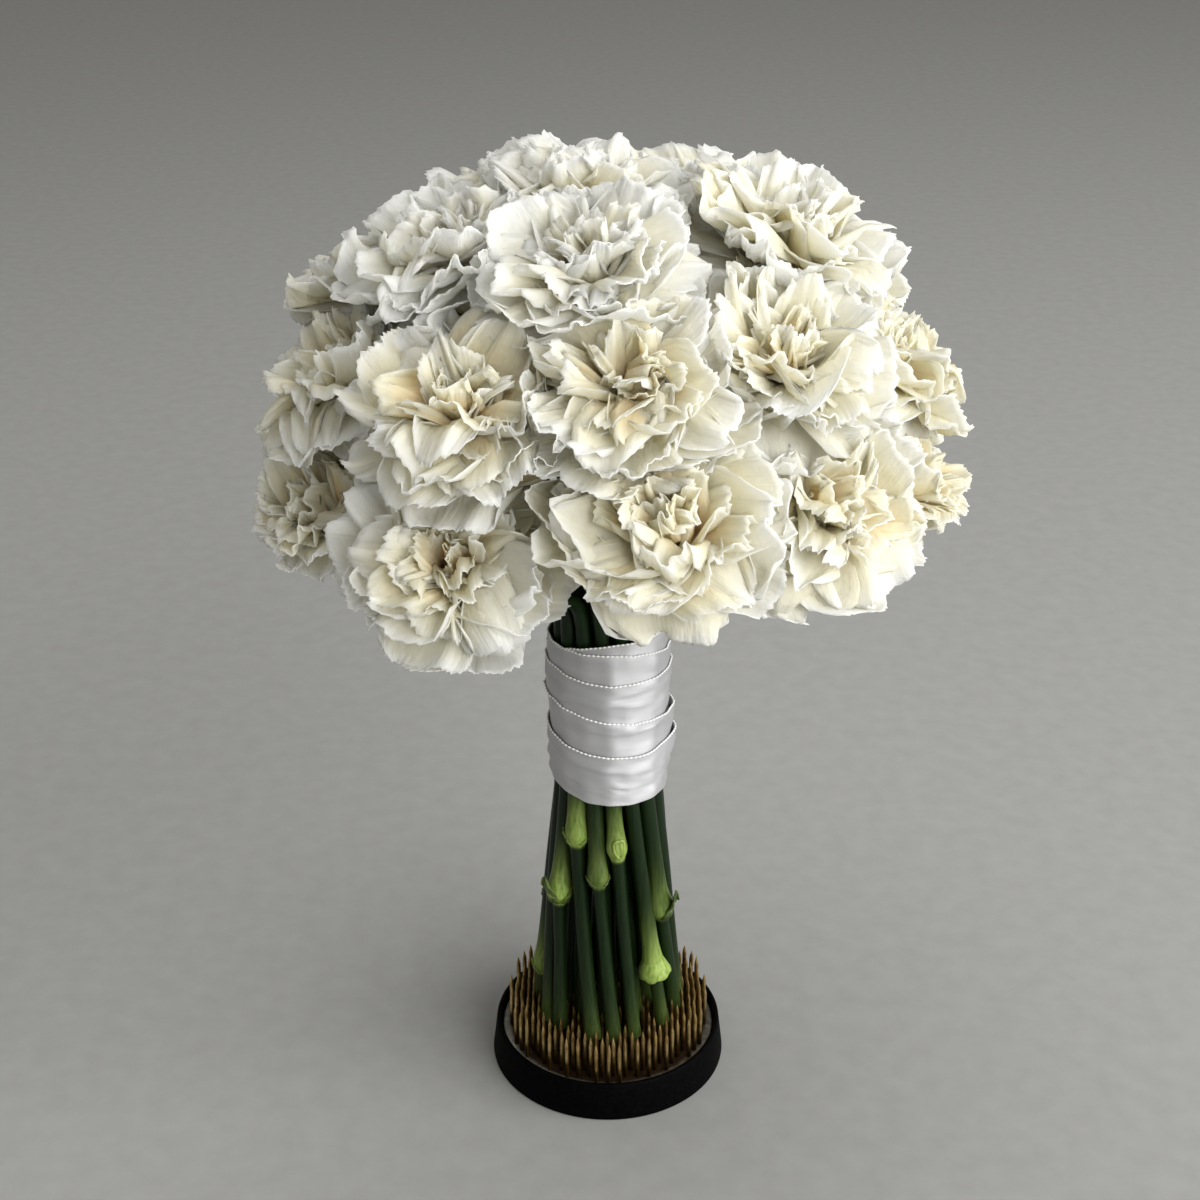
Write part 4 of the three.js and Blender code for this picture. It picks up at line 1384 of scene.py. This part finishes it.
def make_bloom(bloom, material):
    rng = np.random.default_rng(BLOOM_SEED + bloom["number"])
    ranks = np.arange(PETALS) / (PETALS - 1)
    sheets, all_teeth, tones, spreads = [], [], [], []
    for index, rank in enumerate(ranks):
        turn = index * GOLDEN_ANGLE + bloom["number"] * BLOOM_TURN + rng.normal(0, TURN_SPREAD)
        sheet, teeth = petal_sheet(rank, turn, bloom["size"], rng)
        out = (outer_grid if rank < OUTER_RANK else inner_grid)[0][:, None]
        # Cream towards the claw is partly the petal's own and partly painted shade deep in the bloom
        cream_and_shade = CREAM_RIM + CREAM_INNER * rank + CLAW_CREAM_AND_SHADE * (1 - out) ** CLAW_FALL
        cream_and_shade = cream_and_shade + rng.normal(0, CREAM_SPREAD)
        guard = 1 + GUARD_SPREAD * (1 - smooth_step(rank, 0, GUARD_RANK))
        sheets.append(sheet)
        all_teeth.append(teeth)
        tones.append(np.broadcast_to(cream_and_shade, sheet.shape[:2]))
        spreads.append(np.full(cream_and_shade.shape[0] * sheet.shape[1], guard))
    warmth = WARM_RIGHT * bloom["middle"][0] / HEAD_RADIUS + rng.normal(*WARMTH)
    # Partly painted light: the high blooms are made whiter, and so lighter, where light from above falls
    warmth -= WHITE_TOP * smooth_step(bloom["elevation"], *WHITE_FROM)
    everything = np.concatenate([sheet.reshape(-1, 3) for sheet in sheets])
    moved = press(bloom, everything, np.concatenate(spreads), rng)
    points, corners, sizes, smooth, cream_and_shade_lists, rims, cuts = [], [], [], [], [], [], []
    start = count = 0
    for index, (rank, tone, teeth) in enumerate(zip(ranks, tones, all_teeth)):
        outer = rank < OUTER_RANK
        loops, loop_sizes, even, used = outer_faces if outer else inner_faces
        out, across = outer_grid if outer else inner_grid
        out = out[:, None]
        middle = moved[start:start + used.size].reshape(used.shape + (3,)).copy()
        ahead = middle[-1] - middle[-3]
        middle[-1] += ahead / np.maximum(np.linalg.norm(ahead, axis=1), 1)[:, None] * teeth[:, None]
        skins = sheet_skins(middle, CLAW_THICKNESS - (CLAW_THICKNESS - RIM_THICKNESS) * out)
        place = np.stack(np.broadcast_arrays(
            across[None] * from_rank(rank, HALF_WIDTH) + PETAL_SPACING * index, out * from_rank(rank, LENGTH),
        ), axis=-1)
        points += [skin[used] for skin in skins]
        corners.append(loops + count)
        sizes.append(loop_sizes)
        smooth.append(even)
        cream_and_shade_lists += [np.clip(tone + warmth, 0, 1)[used]] * 2
        # The rim share makes the rim whiter: partly its own tone, partly a painted highlight of light through
        # the thin rim
        rims += [np.broadcast_to(smooth_step(out, 0.9, 1), used.shape)[used]] * 2
        cuts += [place[used]] * 2
        start += used.size
        count += 2 * int(used.sum())
    faces = np.concatenate(corners), np.concatenate(sizes), np.concatenate(smooth)
    attributes = {"cream_and_shade": np.concatenate(cream_and_shade_lists), "rim": np.concatenate(rims)}
    piece = make_mesh("flower_%02d" % bloom["number"], np.concatenate(points), faces, attributes)
    add_layout(piece, np.concatenate(cuts))
    piece.data.materials.append(material)
    dress(piece, "petal", "bloom_%02d" % bloom["number"])


# Carnation petal: thin, matt and see-through, ivory on the blade and yellow to peach near the claw, with fine
# veins from claw to rim and a crinkled skin. The yellow to peach near the claw is partly the petal's own
# cream and partly painted shade deep in the bloom, and the cool white rim is partly its own tone and partly a
# painted highlight where light shines through the thin rim.
material, tree = new_material("carnation petal")
# This attribute holds the petals' own cream and the painted shade near the claw
cream_and_shade = add_node(tree, "ShaderNodeAttribute", attribute_name="cream_and_shade")
rim = add_node(tree, "ShaderNodeAttribute", attribute_name="rim")
where = add_node(tree, "ShaderNodeTexCoord")
mottle = add_node(tree, "ShaderNodeTexNoise", {
    "Vector": where.outputs["Object"], "Scale": 90.0, "Detail": 1.5,
})
shift = add_node(tree, "ShaderNodeMath", {0: cream_and_shade.outputs["Fac"], 1: 0.11}, operation="SUBTRACT")
shade = add_node(tree, "ShaderNodeMath", {
    0: mottle.outputs["Fac"], 1: 0.22, 2: shift.outputs["Value"],
}, operation="MULTIPLY_ADD")
# Rims are made whiter: partly their own tone, partly a painted highlight of light through the thin rim
paler = add_node(tree, "ShaderNodeMath", {
    0: rim.outputs["Fac"], 1: -0.28, 2: shade.outputs["Value"],
}, operation="MULTIPLY_ADD")
# The ramp's yellow to peach end, near the claw, is partly painted shade
tint = add_node(tree, "ShaderNodeValToRGB", {"Fac": paler.outputs["Value"]}, [
    (0.0, "#fcfcfa"), (0.25, "#fbfaf2"), (0.5, "#faf7e6"), (0.75, "#faefcf"), (1.0, "#f8d3a0"),
])
layout = add_node(tree, "ShaderNodeUVMap", uv_map="cut")
stretch = add_node(tree, "ShaderNodeMapping", {"Vector": layout.outputs["UV"], "Scale": (900, 90, 1)})
veins = add_node(tree, "ShaderNodeTexNoise", {
    "Vector": stretch.outputs["Vector"], "Scale": 1.0, "Detail": 1.0,
})
crinkle = add_node(tree, "ShaderNodeTexNoise", {
    "Vector": where.outputs["Object"], "Scale": 330.0, "Detail": 1.5,
})
relief = add_node(tree, "ShaderNodeMath", {
    0: crinkle.outputs["Fac"], 1: 1.6, 2: veins.outputs["Fac"],
}, operation="MULTIPLY_ADD")
bump = add_node(tree, "ShaderNodeBump", {
    "Strength": 0.6, "Distance": 0.0006, "Height": relief.outputs["Value"],
})
shader = add_node(tree, "ShaderNodeBsdfPrincipled", {
    "Base Color": tint.outputs["Color"], "Roughness": 0.6, "IOR": 1.4, "Normal": bump.outputs["Normal"],
})
see_through = add_node(tree, "ShaderNodeBsdfTranslucent", {
    "Color": tint.outputs["Color"], "Normal": bump.outputs["Normal"],
})
both = add_node(tree, "ShaderNodeMixShader", {
    0: 0.6, 1: shader.outputs["BSDF"], 2: see_through.outputs["BSDF"],
})
add_node(tree, "ShaderNodeOutputMaterial", {"Surface": both.outputs["Shader"]})
for bloom in blooms:
    drawn = np.random.default_rng(LEAN_SEED + bloom["number"]).normal(0, LEAN_SPREAD, 3)
    bloom["stand"] = stand_of(unit(bloom["axis"] + LEANS.get(bloom["number"], drawn)))
    make_bloom(bloom, material)
